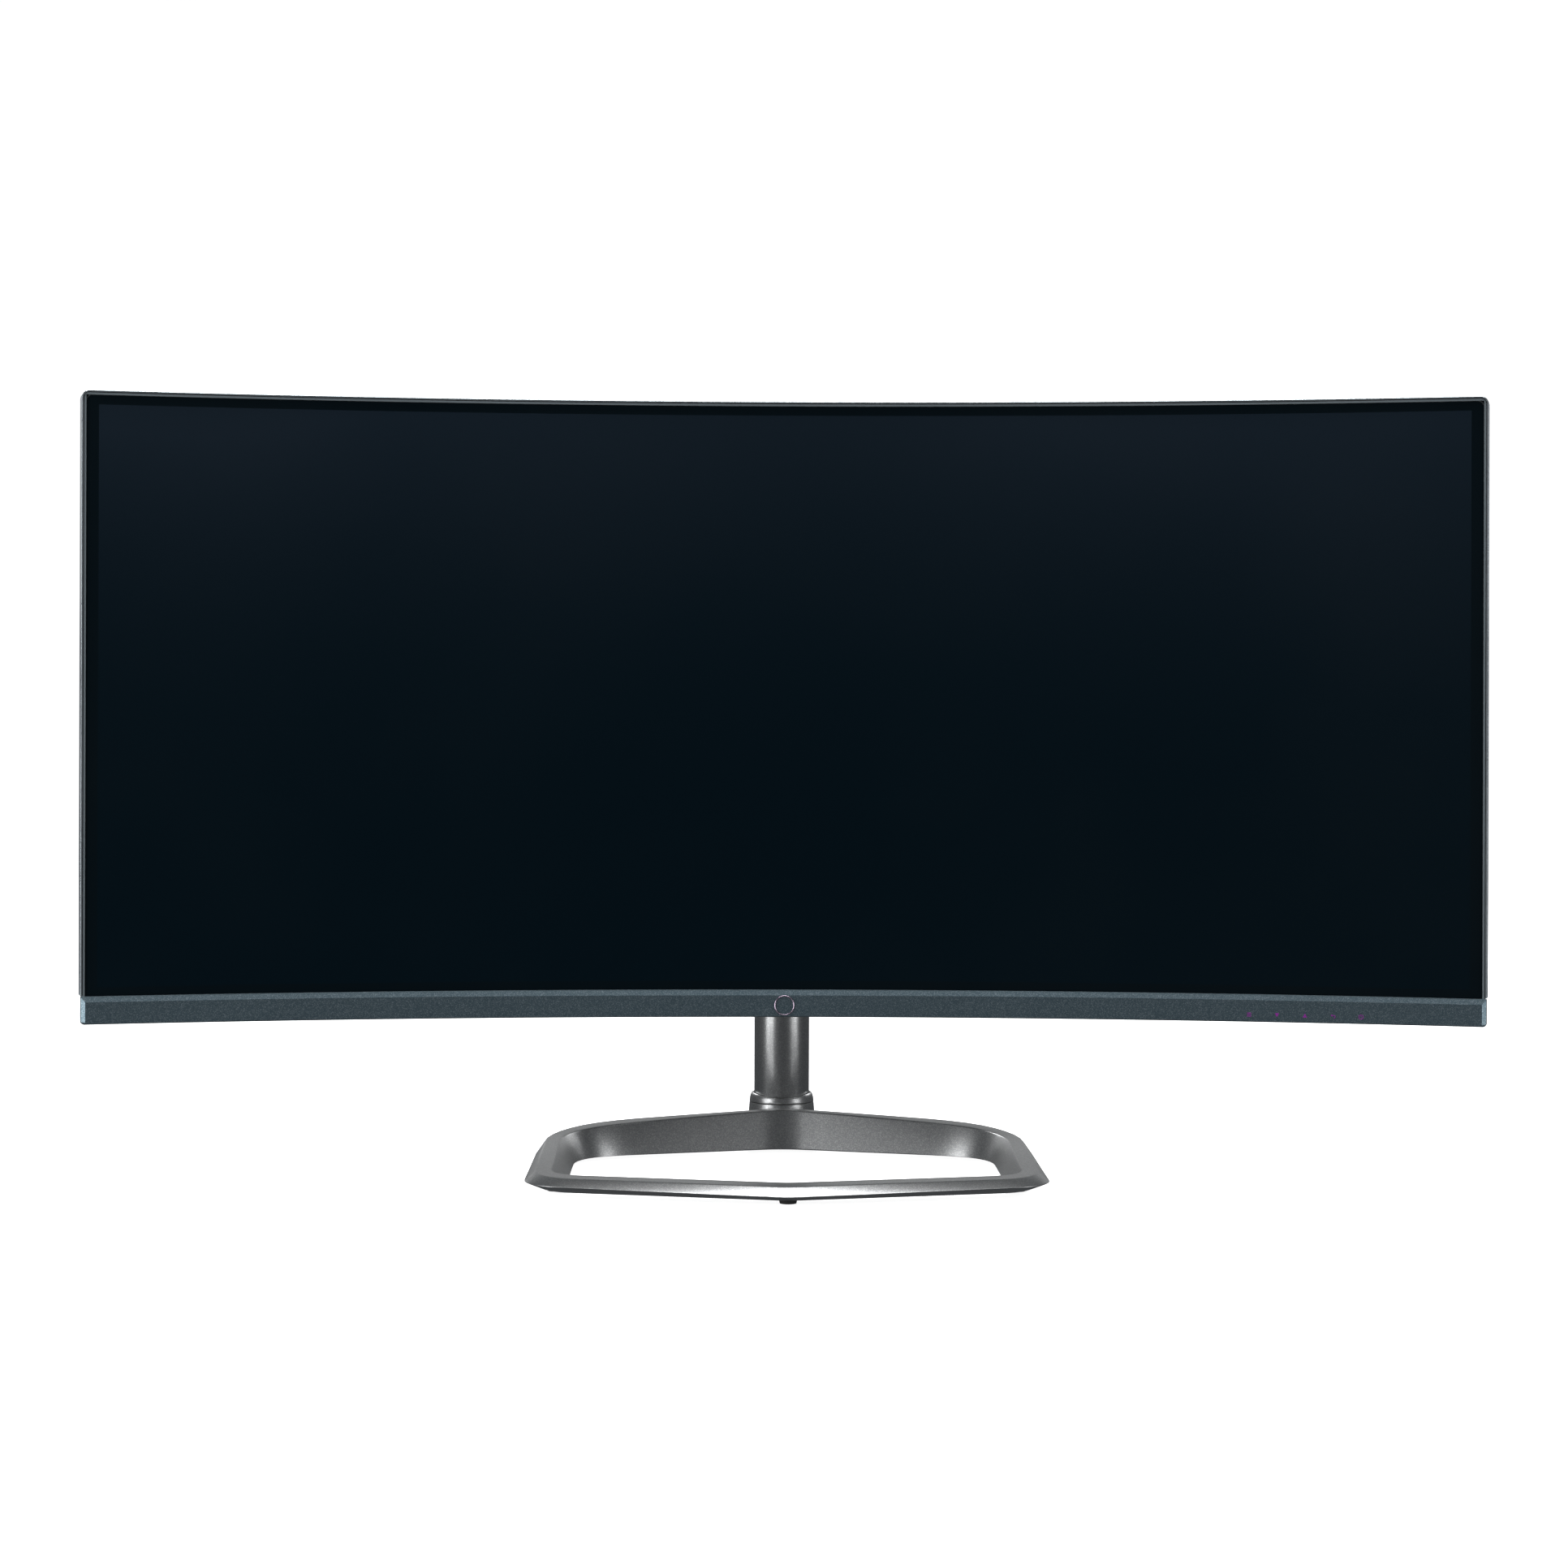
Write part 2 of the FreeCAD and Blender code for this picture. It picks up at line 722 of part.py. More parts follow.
def cover_hull(name, shrink, front):
    """Make the cover's outer or inner hull as one solid, shrunk by a wall."""
    slab = plate(f"{name}_slab", front, f"size.cover_back - {shrink}",
                 f"size.half_arc - size.cover_inset - {shrink}",
                 f"{BOTTOM} + {shrink}", f"{TOP} - size.cover_inset - {shrink}")
    rear = value(f"{FRONT} + size.cover_back - {shrink}")

    def is_rear_rim(edge):
        points = [vertex.Point for vertex in edge.Vertexes]
        return all(abs(math.hypot(point.x, point.y) - rear) < 1e-3 for point in points)

    soften(slab, "Chamfer", "size.cover_chamfer", is_rear_rim)
    low = f"size.bulge_low + {shrink}"
    high = f"size.bulge_high - {shrink}"
    start = f"size.cover_back - {shrink} - size.hull_overlap"
    back = f"size.bulge_back - {shrink}"
    slope = "size.bulge_chamfer"
    section = [(start, low), (f"{back} - {slope}", low), (back, f"{low} + {slope}"),
               (back, f"{high} - {slope}*2"), (f"{back} - {slope}", high), (start, high)]
    bulge = curved(f"{name}_bulge", section, f"size.bulge_arc - {shrink}")
    return fuse(name, [slab, bulge])


def build_cover():
    """Build the rear cover: a hollow shell with vents, socket bay, window and lock slot."""
    outer = cover_hull("cover_outer", "0", "size.cover_front")
    inner = cover_hull("cover_inner", "size.cover_wall", "size.cover_front - size.overcut")
    bay_side = "size.bay_half_width"
    wall = "size.cover_wall"
    bay_front = f"{AXIS_Y} + {FRONT} + size.bay_floor_depth"
    bay_wall = span_block("bay_wall", f"0 - {bay_side} - {wall}", f"{bay_side} + {wall}",
                          f"{bay_front} - {wall}", "0 - size.bay_back", "size.bay_low",
                          f"size.bay_ceiling + {wall}")
    hollow = cut("cover_hollow", inner, [bay_wall])
    bay = span_block("bay", f"0 - {bay_side}", bay_side, bay_front, "0 - size.bay_back",
                     "size.bay_low", "size.bay_ceiling")
    window = block("cover_window", "0", "0 - size.dock_face", "size.screen_height",
                   "size.window_side", "size.window_cut", "size.window_side")
    latch_slot = block("latch_slot", "0", "0 - size.dock_face", "size.latch_height",
                       "size.latch_slot_width", "size.window_cut", "size.latch_slot_height")
    tools = [hollow, bay, window, latch_slot]
    for index in range(SIZES["vent_count"]):
        across = f"({index} - (size.vent_count - 1)/2)*size.vent_pitch"
        tools.append(block(f"vent_{index}", across, depth_y("size.bulge_back", across),
                           "size.vent_low + size.vent_height/2", "size.vent_width",
                           "size.vent_cut", "size.vent_height"))
    for name, across, length, width in socket_mouths():
        tools.append(block(f"{name}_mouth", across, "0 - size.inlet_back",
                           "size.bay_ceiling + size.cover_wall/2", f"{length} + size.mouth_gap",
                           f"{width} + size.mouth_gap", "size.mouth_cut"))
    tools.append(plate("lock_slot", "size.lock_front", "size.lock_back",
                       "size.lock_half_width", "size.lock_low", "size.lock_high",
                       "size.lock_arc"))
    for index, (across, up) in enumerate(cover_screw_places()):
        tools.append(rod(f"screw_bore_{index}", "size.cover_screw_bore",
                         "size.cover_screw_bore_depth", across,
                         depth_y("size.cover_back - size.cover_screw_seat", across), up, "y"))
    node(cut("cover", outer, tools), "rear_cover")


def socket_mouths():
    """List each socket's name, x, length and width in the bay's ceiling."""
    video = ("size.video_length", "size.socket_width")
    graphics = ("size.graphics_length", "size.socket_width")
    return [("video_a", "(0 - size.video_a)", *video), ("video_b", "(0 - size.video_b)", *video),
            ("graphics_a", "(0 - size.graphics_a)", *graphics),
            ("graphics_b", "(0 - size.graphics_b)", *graphics),
            ("audio", "(0 - size.audio_across)", "size.audio_side", "size.audio_side"),
            ("inlet", "size.inlet_across", "size.inlet_length", "size.inlet_width")]


def cover_screw_places():
    """List the rear cover's screws as (x, height)."""
    low = "size.cover_screw_low"
    high = "size.cover_screw_high"
    columns = (("size.cover_screw_outer", low), ("size.cover_screw_outer", high),
               ("size.cover_screw_upper", high), ("size.cover_screw_lower", low))
    return [(f"{side}*{across}", up) for across, up in columns for side in ("(0 - 1)", "1")]


def build_cover_screws():
    """Build the pan-head screws of the rear cover."""
    screws = []
    for index, (across, up) in enumerate(cover_screw_places()):
        start = depth_y("size.cover_back - size.cover_screw_seat", across)
        shank = rod(f"cover_shank_{index}", "size.cover_screw_shank", "size.cover_screw_length",
                    across, start, up, "y")
        head = rod(f"cover_head_{index}", "size.cover_screw_head",
                   "size.cover_screw_head_height", across,
                   f"{start} + size.cover_screw_length", up, "y")
        screws.append(fuse(f"cover_screw_{index}", [shank, head]))
    node(group("cover_screw_set", screws), "cover_screws")


# ---- chassis, boards and sockets ---------------------------------------------------------

def build_chassis():
    """Build the mounting bracket, the chassis plate and the stand dock with its screws."""
    face = "(0 - size.dock_face)"
    half = "size.bracket_side/2"
    middle = "size.screen_height"
    back_plate = span_block("bracket_plate", f"0 - {half}", half,
                            f"{face} - size.bracket_wall", face, f"{middle} - {half}",
                            f"{middle} + {half}")
    parts = [back_plate]
    foot = depth_y("size.tray_back + size.running_gap", f"({half} - size.bracket_leg)")
    leg = "size.bracket_leg/2"
    for side in (-1, 1):
        across = f"{side}*({half} - {leg})"
        parts.append(span_block(f"bracket_leg_{side + 1}", f"{across} - {leg}",
                                f"{across} + {leg}", foot, face, f"{middle} - {half}",
                                f"{middle} + {half}"))
    holes = []
    for index, (side, level) in enumerate(CORNERS):
        across = f"{side}*size.arm_pitch/2"
        up = f"{middle} + {level}*size.arm_pitch/2"
        start = f"{face} - size.boss_depth"
        parts.append(rod(f"arm_boss_{index}", "size.boss_radius",
                         "size.boss_depth - size.bracket_wall/2", across, start, up, "y"))
        holes.append(rod(f"arm_hole_{index}", "size.arm_hole",
                         "size.boss_depth + 2*size.overcut", across,
                         f"{start} - size.overcut", up, "y"))
    offset = "size.dock_screw_offset"
    for index, (side, level) in enumerate(CORNERS):
        holes.append(rod(f"dock_tap_{index}", "size.dock_tap",
                         "size.dock_tap_depth + size.overcut", f"{side}*{offset}",
                         f"{face} - size.dock_tap_depth", f"{middle} + {level}*{offset}", "y"))
    bracket = fuse("bracket_blank", parts)
    node(cut("bracket", bracket, holes), "arm_bracket")

    chassis = span_block("chassis_blank", "0 - size.chassis_half_width",
                         "size.chassis_half_width", "0 - size.chassis_front",
                         "0 - size.chassis_back", "size.chassis_low", "size.chassis_high")
    opening = block("chassis_opening", "0", "0 - size.chassis_back", middle,
                    "size.chassis_opening", "2*size.deep_overcut", "size.chassis_opening")
    node(cut("chassis", chassis, [opening]), "chassis_plate")


def build_dock():
    """Build the stand's dock plate on the back of the display and its four screws."""
    face = "(0 - size.dock_face)"
    middle = "size.screen_height"
    offset = "size.dock_screw_offset"
    dock_half = "size.dock_side/2"
    dock = span_block("dock_blank", f"0 - {dock_half}", dock_half, face,
                      f"{face} + size.dock_wall", f"{middle} - {dock_half}",
                      f"{middle} + {dock_half}")
    bores = []
    screws = []
    seat = f"{face} + size.dock_wall - size.dock_sink_depth"
    for index, (side, level) in enumerate(CORNERS):
        across = f"{side}*{offset}"
        up = f"{middle} + {level}*{offset}"
        bores.append(rod(f"dock_bore_{index}", "size.dock_bore",
                         "size.dock_wall + 2*size.overcut", across,
                         f"{face} - size.overcut", up, "y"))
        bores.append(rod(f"dock_sink_{index}", "size.dock_sink",
                         "size.dock_sink_depth + size.overcut", across, seat, up, "y"))
        shank = rod(f"dock_shank_{index}", "size.dock_shank",
                    "size.dock_shank_depth + size.dock_wall - size.dock_sink_depth", across,
                    f"{face} - size.dock_shank_depth", up, "y")
        head = rod(f"dock_head_{index}", "size.dock_screw_head",
                   "size.dock_screw_head_height", across, seat, up, "y")
        screws.append(fuse(f"dock_screw_{index}", [shank, head]))
    node(cut("dock", dock, bores), "dock_plate")
    node(group("dock_screw_set", screws), "dock_screws")


def build_boards():
    """Build the two circuit boards and the larger components on them."""
    front = "0 - size.board_front"
    face = "(0 - size.board_back)"
    node(span_block("main_pcb", "0 - size.board_outer", "0 - size.board_inner", front, face,
                    "size.main_board_low", "size.board_high"), "main_board")
    node(span_block("power_pcb", "size.board_inner", "size.board_outer", front, face,
                    "size.power_board_low", "size.board_high"), "power_board")
    pieces = [
        block("heat_sink", "0 - 115", f"{face} + 4", "262", "44", "8", "44"),
        block("memory_chip", "0 - 160", f"{face} + 0.8", "262", "14", "1.6", "20"),
        block("memory_chip_twin", "0 - 160", f"{face} + 0.8", "232", "14", "1.6", "20"),
        block("transformer", "95", f"{face} + 5", "255", "34", "10", "30"),
        block("primary_heat_sink", "145", f"{face} + 3.5", "275", "8", "7", "60"),
        rod("bulk_capacitor", "5.0", "34", "95", f"{face} + 5.1", "283"),
        rod("bulk_capacitor_twin", "5.0", "34", "108", f"{face} + 5.1", "283"),
        block("line_filter", "150", f"{face} + 3.5", "232", "20", "7", "20"),
    ]
    node(group("components", pieces), "board_components")


def socket_shell(name, across, length, tongue):
    """Make one downward signal socket: a shell with a tongue in it."""
    low = SOCKET_LOW
    depth = "size.socket_height"
    width = "size.socket_width"
    shell = block(f"{name}_shell", across, "0 - size.socket_back", f"{low} + {depth}/2", length,
                  width, depth)
    hollow = block(f"{name}_hollow", across, "0 - size.socket_back",
                   f"{low} + {depth}/2 - size.tongue_wall", f"{length} - 2*size.socket_wall",
                   f"{width} - 2*size.socket_wall", depth)
    blade = block(f"{name}_tongue", across, "0 - size.socket_back - size.tongue_shift",
                  f"{low} + {depth}/2 + size.socket_wall", tongue, "size.tongue_wall",
                  f"{depth} - 2*size.overcut")
    return fuse(name, [cut(f"{name}_open", shell, [hollow]), blade])


def build_sockets():
    """Build the sockets that look down into the bay."""
    mouths = {name: across for name, across, _, _ in socket_mouths()}
    video = [socket_shell(name, mouths[name], "size.video_length", "size.video_tongue")
             for name in ("video_a", "video_b")]
    node(group("video", video), "video_sockets")
    graphics = [socket_shell(name, mouths[name], "size.graphics_length",
                             "size.graphics_tongue") for name in ("graphics_a", "graphics_b")]
    node(group("graphics", graphics), "graphics_sockets")

    low = SOCKET_LOW
    back = "0 - size.socket_back"
    body = block("audio_body", mouths["audio"], back, f"{low} + size.audio_height/2",
                 "size.audio_side", "size.audio_side", "size.audio_height")
    bore = rod("audio_bore", "size.audio_bore", "size.audio_bore_depth + size.overcut",
               mouths["audio"], back, f"{low} - size.overcut")
    node(cut("audio", body, [bore]), "audio_socket")

    middle = "0 - size.inlet_back"
    wall = "2*size.inlet_wall"
    shell = block("inlet_shell", mouths["inlet"], middle, f"{low} + size.inlet_height/2",
                  "size.inlet_length", "size.inlet_width", "size.inlet_height")
    hollow = block("inlet_hollow", mouths["inlet"], middle,
                   f"{low} + size.inlet_height/2 - size.inlet_floor",
                   f"size.inlet_length - {wall}", f"size.inlet_width - {wall}",
                   "size.inlet_height")
    pin_high = f"{low} + size.inlet_height - size.inlet_floor + size.overcut"
    pins = []
    for index, (side, shift) in enumerate(((-1, 1), (0, -1), (1, 1))):
        pins.append(block(f"inlet_pin_{index}", f"{mouths['inlet']} + {side}*size.pin_pitch",
                          f"{middle} + {shift}*size.pin_offset",
                          f"{pin_high} - size.pin_length/2", "size.pin_thin", "size.pin_wide",
                          "size.pin_length"))
    node(fuse("inlet", [cut("inlet_open", shell, [hollow])] + pins), "power_inlet")


def build_cables():
    """Build the flat internal cables of the panel, the keys and the backlight."""
    left = "0 - size.panel_lead_left"
    right = "0 - size.panel_lead_right"
    front = "0 - size.panel_lead_front"
    back = "0 - size.panel_lead_back"
    level = "size.lead_level"
    wall = "size.lead_wall"
    strip = [span_block("panel_lead_rise", left, right, front, f"{front} + {wall}",
                        "size.panel_lead_low", f"{level} + {wall}"),
             span_block("panel_lead_turn", left, right, front, f"{back} + {wall}", level,
                        f"{level} + {wall}"),
             span_block("panel_lead_end", left, right, back, f"{back} + {wall}", level,
                        "size.panel_lead_high")]
    node(fuse("panel_lead", strip), "panel_cable")
    side_lead("key_cable", "(0 - size.key_lead_rise)", "size.key_lead_reach",
              "size.key_lead_low")
    side_lead("backlight_cable", "size.light_lead_rise", "size.light_lead_reach",
              "size.light_lead_low")


def side_lead(name, rise, reach, low):
    """Build a lead that runs along the panel, climbs at x rise and turns to its board."""
    near = "size.side_lead_front"
    width = "size.side_lead_width"
    wall = "size.side_lead_wall"
    level = "size.lead_level"
    run = plate(f"{name}_run", near, f"{near} + {wall}", f"({reach} - {rise})/2", low,
                f"{low} + {width}", f"({rise} + {reach})/2")
    back = depth_y(near, rise)
    climb = span_block(f"{name}_climb", f"{rise} - {width}/2", f"{rise} + {width}/2", back,
                       f"{back} + {wall}", low, f"{level} + size.side_lead_turn")
    turn = span_block(f"{name}_turn", f"{rise} - {width}/2", f"{rise} + {width}/2", back,
                      "0 - size.side_lead_back", level, f"{level} + size.side_lead_turn")
    node(fuse(f"{name}_lead", [run, climb, turn]), name)


# ---- tilt head and carriage --------------------------------------------------------------

def ear_outline(reach):
    """Give an ear's side outline, a stretched octagon about the tilt axis, as (y, z)."""
    middle_y = "(0 - size.tilt_y)"
    middle_z = "size.screen_height"
    radius = "size.tilt_ear_radius"
    corner = f"{radius}*0.4142"
    toward = "1" if value(reach) > value(middle_y) else "(0 - 1)"
    return [(reach, f"{middle_z} - {radius}"),
            (f"{middle_y} - {toward}*{corner}", f"{middle_z} - {radius}"),
            (f"{middle_y} - {toward}*{radius}", f"{middle_z} - {corner}"),
            (f"{middle_y} - {toward}*{radius}", f"{middle_z} + {corner}"),
            (f"{middle_y} - {toward}*{corner}", f"{middle_z} + {radius}"),
            (reach, f"{middle_z} + {radius}")]


def build_head():
    """Build the carriage: glider, neck, head bracket, hinge hardware and head cover."""
    middle = "size.screen_height"
    tilt_y = "(0 - size.tilt_y)"
    glider_low = f"{middle} - size.glider_height/2"
    drum = rod("glider_drum", "size.glider_radius", "size.glider_height", "0", "0", glider_low)
    flat = span_block("glider_flat", "0 - size.column_radius", "size.column_radius",
                      "0 - size.column_radius", "0 - size.neck_back",
                      f"{glider_low} - size.overcut",
                      f"{glider_low} + size.glider_height + size.overcut")
    cuts = [flat]
    for side in (-1, 1):
        cuts.append(rod(f"glider_bore_{side + 1}", "size.rod_radius + size.running_gap",
                        "size.glider_height + 2*size.overcut", f"{side}*size.rod_offset", "0",
                        f"{glider_low} - size.overcut"))
    node(cut("glider_block", drum, cuts), "glider")
    node(span_block("neck_block", "0 - size.neck_half_width", "size.neck_half_width",
                    "0 - size.head_plate_back", "0 - size.neck_back",
                    f"{middle} - size.neck_half_height", f"{middle} + size.neck_half_height"),
         "neck")

    plate_front = "(0 - size.head_plate_back - size.head_plate_wall)"
    head_plate = span_block("head_plate", "0 - size.ear_outer", "size.ear_outer", plate_front,
                            "0 - size.head_plate_back",
                            f"{middle} - size.head_plate_half_height",
                            f"{middle} + size.head_plate_half_height")
    ear_thickness = "size.ear_outer - size.ear_inner"
    ears = []
    for side in (-1, 1):
        ear = padded(f"ear_{side + 1}", "YZ_Plane",
                     ear_outline(f"{plate_front} + size.overcut"), ear_thickness)
        ears.append(place(ear, f"{side}*(size.ear_outer + size.ear_inner)/2"))
    pin_hole = rod("ear_hole", "size.pin_radius", "2*(size.ear_outer + size.deep_overcut)",
                   "0 - size.ear_outer - size.deep_overcut", tilt_y, middle, "x")
    node(cut("head_blank", fuse("head_solid", [head_plate] + ears), [pin_hole]),
         "head_bracket")
    node(rod("pin", "size.pin_radius", "2*(size.ear_outer + size.pin_overhang)",
             "0 - size.ear_outer - size.pin_overhang", tilt_y, middle, "x"), "hinge_pin")
    build_hinge_hardware(tilt_y, middle)

    half_width = "size.shroud_half_width"
    half_height = "size.shroud_half_height"
    wall = "size.shroud_wall"
    shroud = span_block("shroud_outer", f"0 - {half_width}", half_width,
                        "0 - size.shroud_front", "0 - size.shroud_back",
                        f"{middle} - {half_height}", f"{middle} + {half_height}")
    hollow = span_block("shroud_hollow", f"0 - {half_width} + {wall}", f"{half_width} - {wall}",
                        "0 - size.shroud_front - size.overcut", f"0 - size.shroud_back - {wall}",
                        f"{middle} - {half_height} + {wall}",
                        f"{middle} + {half_height} - {wall}")
    neck_hole = block("shroud_neck_hole", "0", "0 - size.shroud_back", middle,
                      "2*(size.neck_half_width + size.shroud_gap)", "2*size.deep_overcut",
                      "2*(size.neck_half_height + size.shroud_gap)")
    node(cut("shroud", shroud, [hollow, neck_hole]), "head_cover")

    knuckle = padded("knuckle_blank", "YZ_Plane",
                     ear_outline("0 - size.dock_face + size.dock_wall"),
                     "2*size.knuckle_half")
    bore = rod("knuckle_bore", "size.pin_radius + size.running_gap",
               "2*(size.knuckle_half + size.deep_overcut)",
               "0 - size.knuckle_half - size.deep_overcut", tilt_y, middle, "x")
    node(cut("knuckle", knuckle, [bore]), "tilt_knuckle")
    node(span_block("latch", "0 - size.latch_half_width", "size.latch_half_width",
                    "0 - size.latch_front", "0 - size.latch_back", "size.latch_low",
                    "size.latch_high"), "release_button")


def build_hinge_hardware(tilt_y, middle):
    """Build the friction washers and the nuts on the hinge pin."""
    washers = []
    nuts = []
    for side in (-1, 1):
        start = f"{side}*(size.ear_inner + size.knuckle_half)/2 - size.washer_wall/2"
        disc = rod(f"washer_disc_{side + 1}", "size.tilt_ear_radius - size.washer_rim",
                   "size.washer_wall", start, tilt_y, middle, "x")
        eye = rod(f"washer_eye_{side + 1}", "size.pin_radius + size.washer_gap",
                  "size.washer_wall + 2*size.overcut", f"{start} - size.overcut", tilt_y,
                  middle, "x")
        washers.append(cut(f"washer_{side + 1}", disc, [eye]))
        offset = "size.ear_outer + size.nut_gap + size.nut_wall/2"
        nut_start = f"{side}*({offset}) - size.nut_wall/2"
        hexagon = doc.addObject("Part::Prism", f"nut_blank_{side + 1}")
        hexagon.Polygon = 6
        hexagon.setExpression("Circumradius", "size.tilt_ear_radius - size.overcut")
        hexagon.setExpression("Height", "size.nut_wall")
        place(hexagon, nut_start, tilt_y, middle, FreeCAD.Vector(0, 1, 0), 90.0)
        hole = rod(f"nut_hole_{side + 1}", "size.pin_radius",
                   "size.nut_wall + 2*size.overcut", f"{nut_start} - size.overcut", tilt_y,
                   middle, "x")
        nuts.append(cut(f"nut_{side + 1}", hexagon, [hole]))
    node(group("washer_set", washers), "friction_washers")
    node(group("nut_set", nuts), "hinge_nuts")


# ---- column ------------------------------------------------------------------------------

def build_column():
    """Build the column tube, its plug, its collar and the two guide rods."""
    inner = "size.column_radius - size.column_wall"
    tube = ring("tube", inner, "size.column_radius", "size.seam_height + size.column_rise",
                "size.column_high")
    slot = span_block("tube_slot", "0 - size.slot_half_width", "size.slot_half_width",
                      "0 - size.column_radius - size.overcut", "0 - size.post_radius",
                      "size.slot_low", "size.slot_high")
    node(cut("tube_cut", tube, [slot]), "column_tube")

    post_bore = "size.post_radius + size.running_gap"
    plug_radius = f"{inner} - size.plug_gap"
    seam = "size.seam_height + size.running_gap"
    step = "size.post_high - size.plug_lift"
    node(turned("column_plug", [(post_bore, seam), (plug_radius, seam),
                                (plug_radius, "size.plug_high"),
                                ("size.plug_bore", "size.plug_high"), ("size.plug_bore", step),
                                (post_bore, step)]), "column_plug")

    bore = "size.column_radius + size.collar_gap"
    low = "size.seam_height + size.seam_gap"
    rim = "size.collar_neck"
    collar = turned("collar_blank", [(bore, low), (rim, low),
                                     (f"{rim} - size.collar_draft", "size.draft_high"),
                                     (f"{rim} - size.collar_shoulder", "size.shoulder_high"),
                                     (f"{rim} - size.collar_top", "size.collar_high"),
                                     (bore, "size.collar_high")])
    saddle = rod("collar_saddle", "size.saddle_radius", "4*size.column_radius", "0",
                 "0 - 2*size.column_radius", "size.saddle_low + size.saddle_radius", "y")
    node(cut("collar", collar, [saddle]), "upper_collar")

    rods = [rod(f"guide_rod_{side + 1}", "size.rod_radius", "size.rod_length",
                f"{side}*size.rod_offset", "0", "size.rod_low") for side in (-1, 1)]
    node(group("rod_set", rods), "guide_rods")


def build_spring():
    """Build the column cap with its cheeks, the spring reel and the lift spring."""
    outer = "size.column_radius"
    spigot = f"{outer} - size.column_wall - size.spigot_gap"
    rim = "size.column_high"
    crown = f"{rim} + size.cap_wall"
    cap = turned("cap_blank", [("0", "size.cap_low"), (spigot, "size.cap_low"), (spigot, rim),
                               (outer, rim), (outer, f"{crown} - size.cap_bevel"),
                               (f"{outer} - size.cap_bevel", crown), ("0", crown)])
    half = "size.cheek_wall/2"
    cheeks = []
    for side in (-1, 1):
        across = f"{side}*size.cheek_offset"
        cheeks.append(span_block(f"reel_cheek_{side + 1}", f"{across} - {half}",
                                 f"{across} + {half}", "0 - size.cheek_front",
                                 "size.cheek_back", "size.reel_height - size.cheek_drop",
                                 "size.cap_low + size.overcut"))
    centre = ("size.reel_back", "size.reel_height", "x")
    axle_hole = rod("axle_hole", "size.axle_radius", "size.axle_length + 2*size.overcut",
                    "0 - size.axle_length/2 - size.overcut", *centre)
    node(cut("cap_cut", fuse("cap_solid", [cap] + cheeks), [axle_hole]), "column_cap")

    drum = rod("reel_drum", "size.reel_radius", "size.reel_width", "0 - size.reel_width/2",
               *centre)
    axle = rod("reel_axle", "size.axle_radius", "size.axle_length", "0 - size.axle_length/2",
               *centre)
    node(fuse("reel", [drum, axle]), "spring_reel")
    strip_y = "(size.reel_back + size.reel_radius)"
    node(span_block("strip", "0 - size.spring_width/2", "size.spring_width/2", strip_y,
                    f"{strip_y} + size.spring_wall",
                    "size.screen_height + size.glider_height/2", "size.reel_height"),
         "lift_spring")


# ---- base --------------------------------------------------------------------------------

def hexagon_loop(half_width, front, front_corner, rear_corner, rear, front_radius,
                 rear_radius, height):
    """Make a smooth closed edge around a six-sided outline with rounded corners.

    The six corners are the two apexes on the centre line and two corners on each side.
    height(point) gives the z of each point.
    """
    radii = [front_radius, front_radius, rear_radius, rear_radius, rear_radius, front_radius]
    corners = [FreeCAD.Vector(0, front, 0), FreeCAD.Vector(half_width, front_corner, 0),
               FreeCAD.Vector(half_width, rear_corner, 0), FreeCAD.Vector(0, rear, 0),
               FreeCAD.Vector(-half_width, rear_corner, 0),
               FreeCAD.Vector(-half_width, front_corner, 0)]
    points = []
    for index, corner in enumerate(corners):
        before = (corners[index - 1] - corner).normalize()
        after = (corners[(index + 1) % len(corners)] - corner).normalize()
        reach = radii[index] / math.tan(before.getAngle(after) / 2)
        for step in range(CORNER_STEPS + 1):
            share = step / CORNER_STEPS
            start = corner + before * reach
            end = corner + after * reach
            points.append(start * (1 - share) ** 2 + corner * (2 * share * (1 - share))
                          + end * share ** 2)
        following = corners[(index + 1) % len(corners)]
        points.append((corner + following) * 0.5)
    lifted = [FreeCAD.Vector(point.x, point.y, height(point)) for point in points]
    spline = Part.BSplineCurve()
    spline.interpolate(Points=lifted, PeriodicFlag=True)
    return spline.toShape()


def crest(point):
    """Give the height of the ring's top: low in front, rising to the hub behind."""
    slope = CREST_FRONT + CREST_SLOPE * (point.y - CREST_START)
    behind = max(0.0, min(1.0, (point.y - CREST_REAR) / CREST_EASE))
    centre = max(0.0, 1.0 - abs(point.x) / CREST_HALF_WIDTH)
    ease = behind * behind * (3.0 - 2.0 * behind)
    return slope + CREST_RISE * ease * centre ** CREST_POWER


def belt(point):
    """Give the height of the ring's widest line: low at the apexes, higher at the sides."""
    return SIZES["ring_belt"] + BELT_RISE * min(1.0, abs(point.x) / BELT_HALF_WIDTH)


def build_casting():
    """Build the ring casting by skinning its five loops."""
    low = SIZES["foot_height"]
    loops = [hexagon_loop(*LOOP_FLOOR, lambda point: low),
             hexagon_loop(*LOOP_BELT, belt),
             hexagon_loop(*LOOP_OUTER_CREST, crest),
             hexagon_loop(*LOOP_INNER_CREST, crest),
             hexagon_loop(*LOOP_INNER_FLOOR, lambda point: low)]
    walls = [Part.makeRuledSurface(near, far)
             for near, far in zip(loops, loops[1:] + loops[:1])]
    skin = Part.makeCompound(walls)
    skin.sewShape()
    solid = Part.makeSolid(skin.Shells[0])
    if solid.Volume < 0:
        solid.reverse()
    casting = doc.addObject("Part::Feature", "ring_casting")
    casting.Shape = solid

    return casting


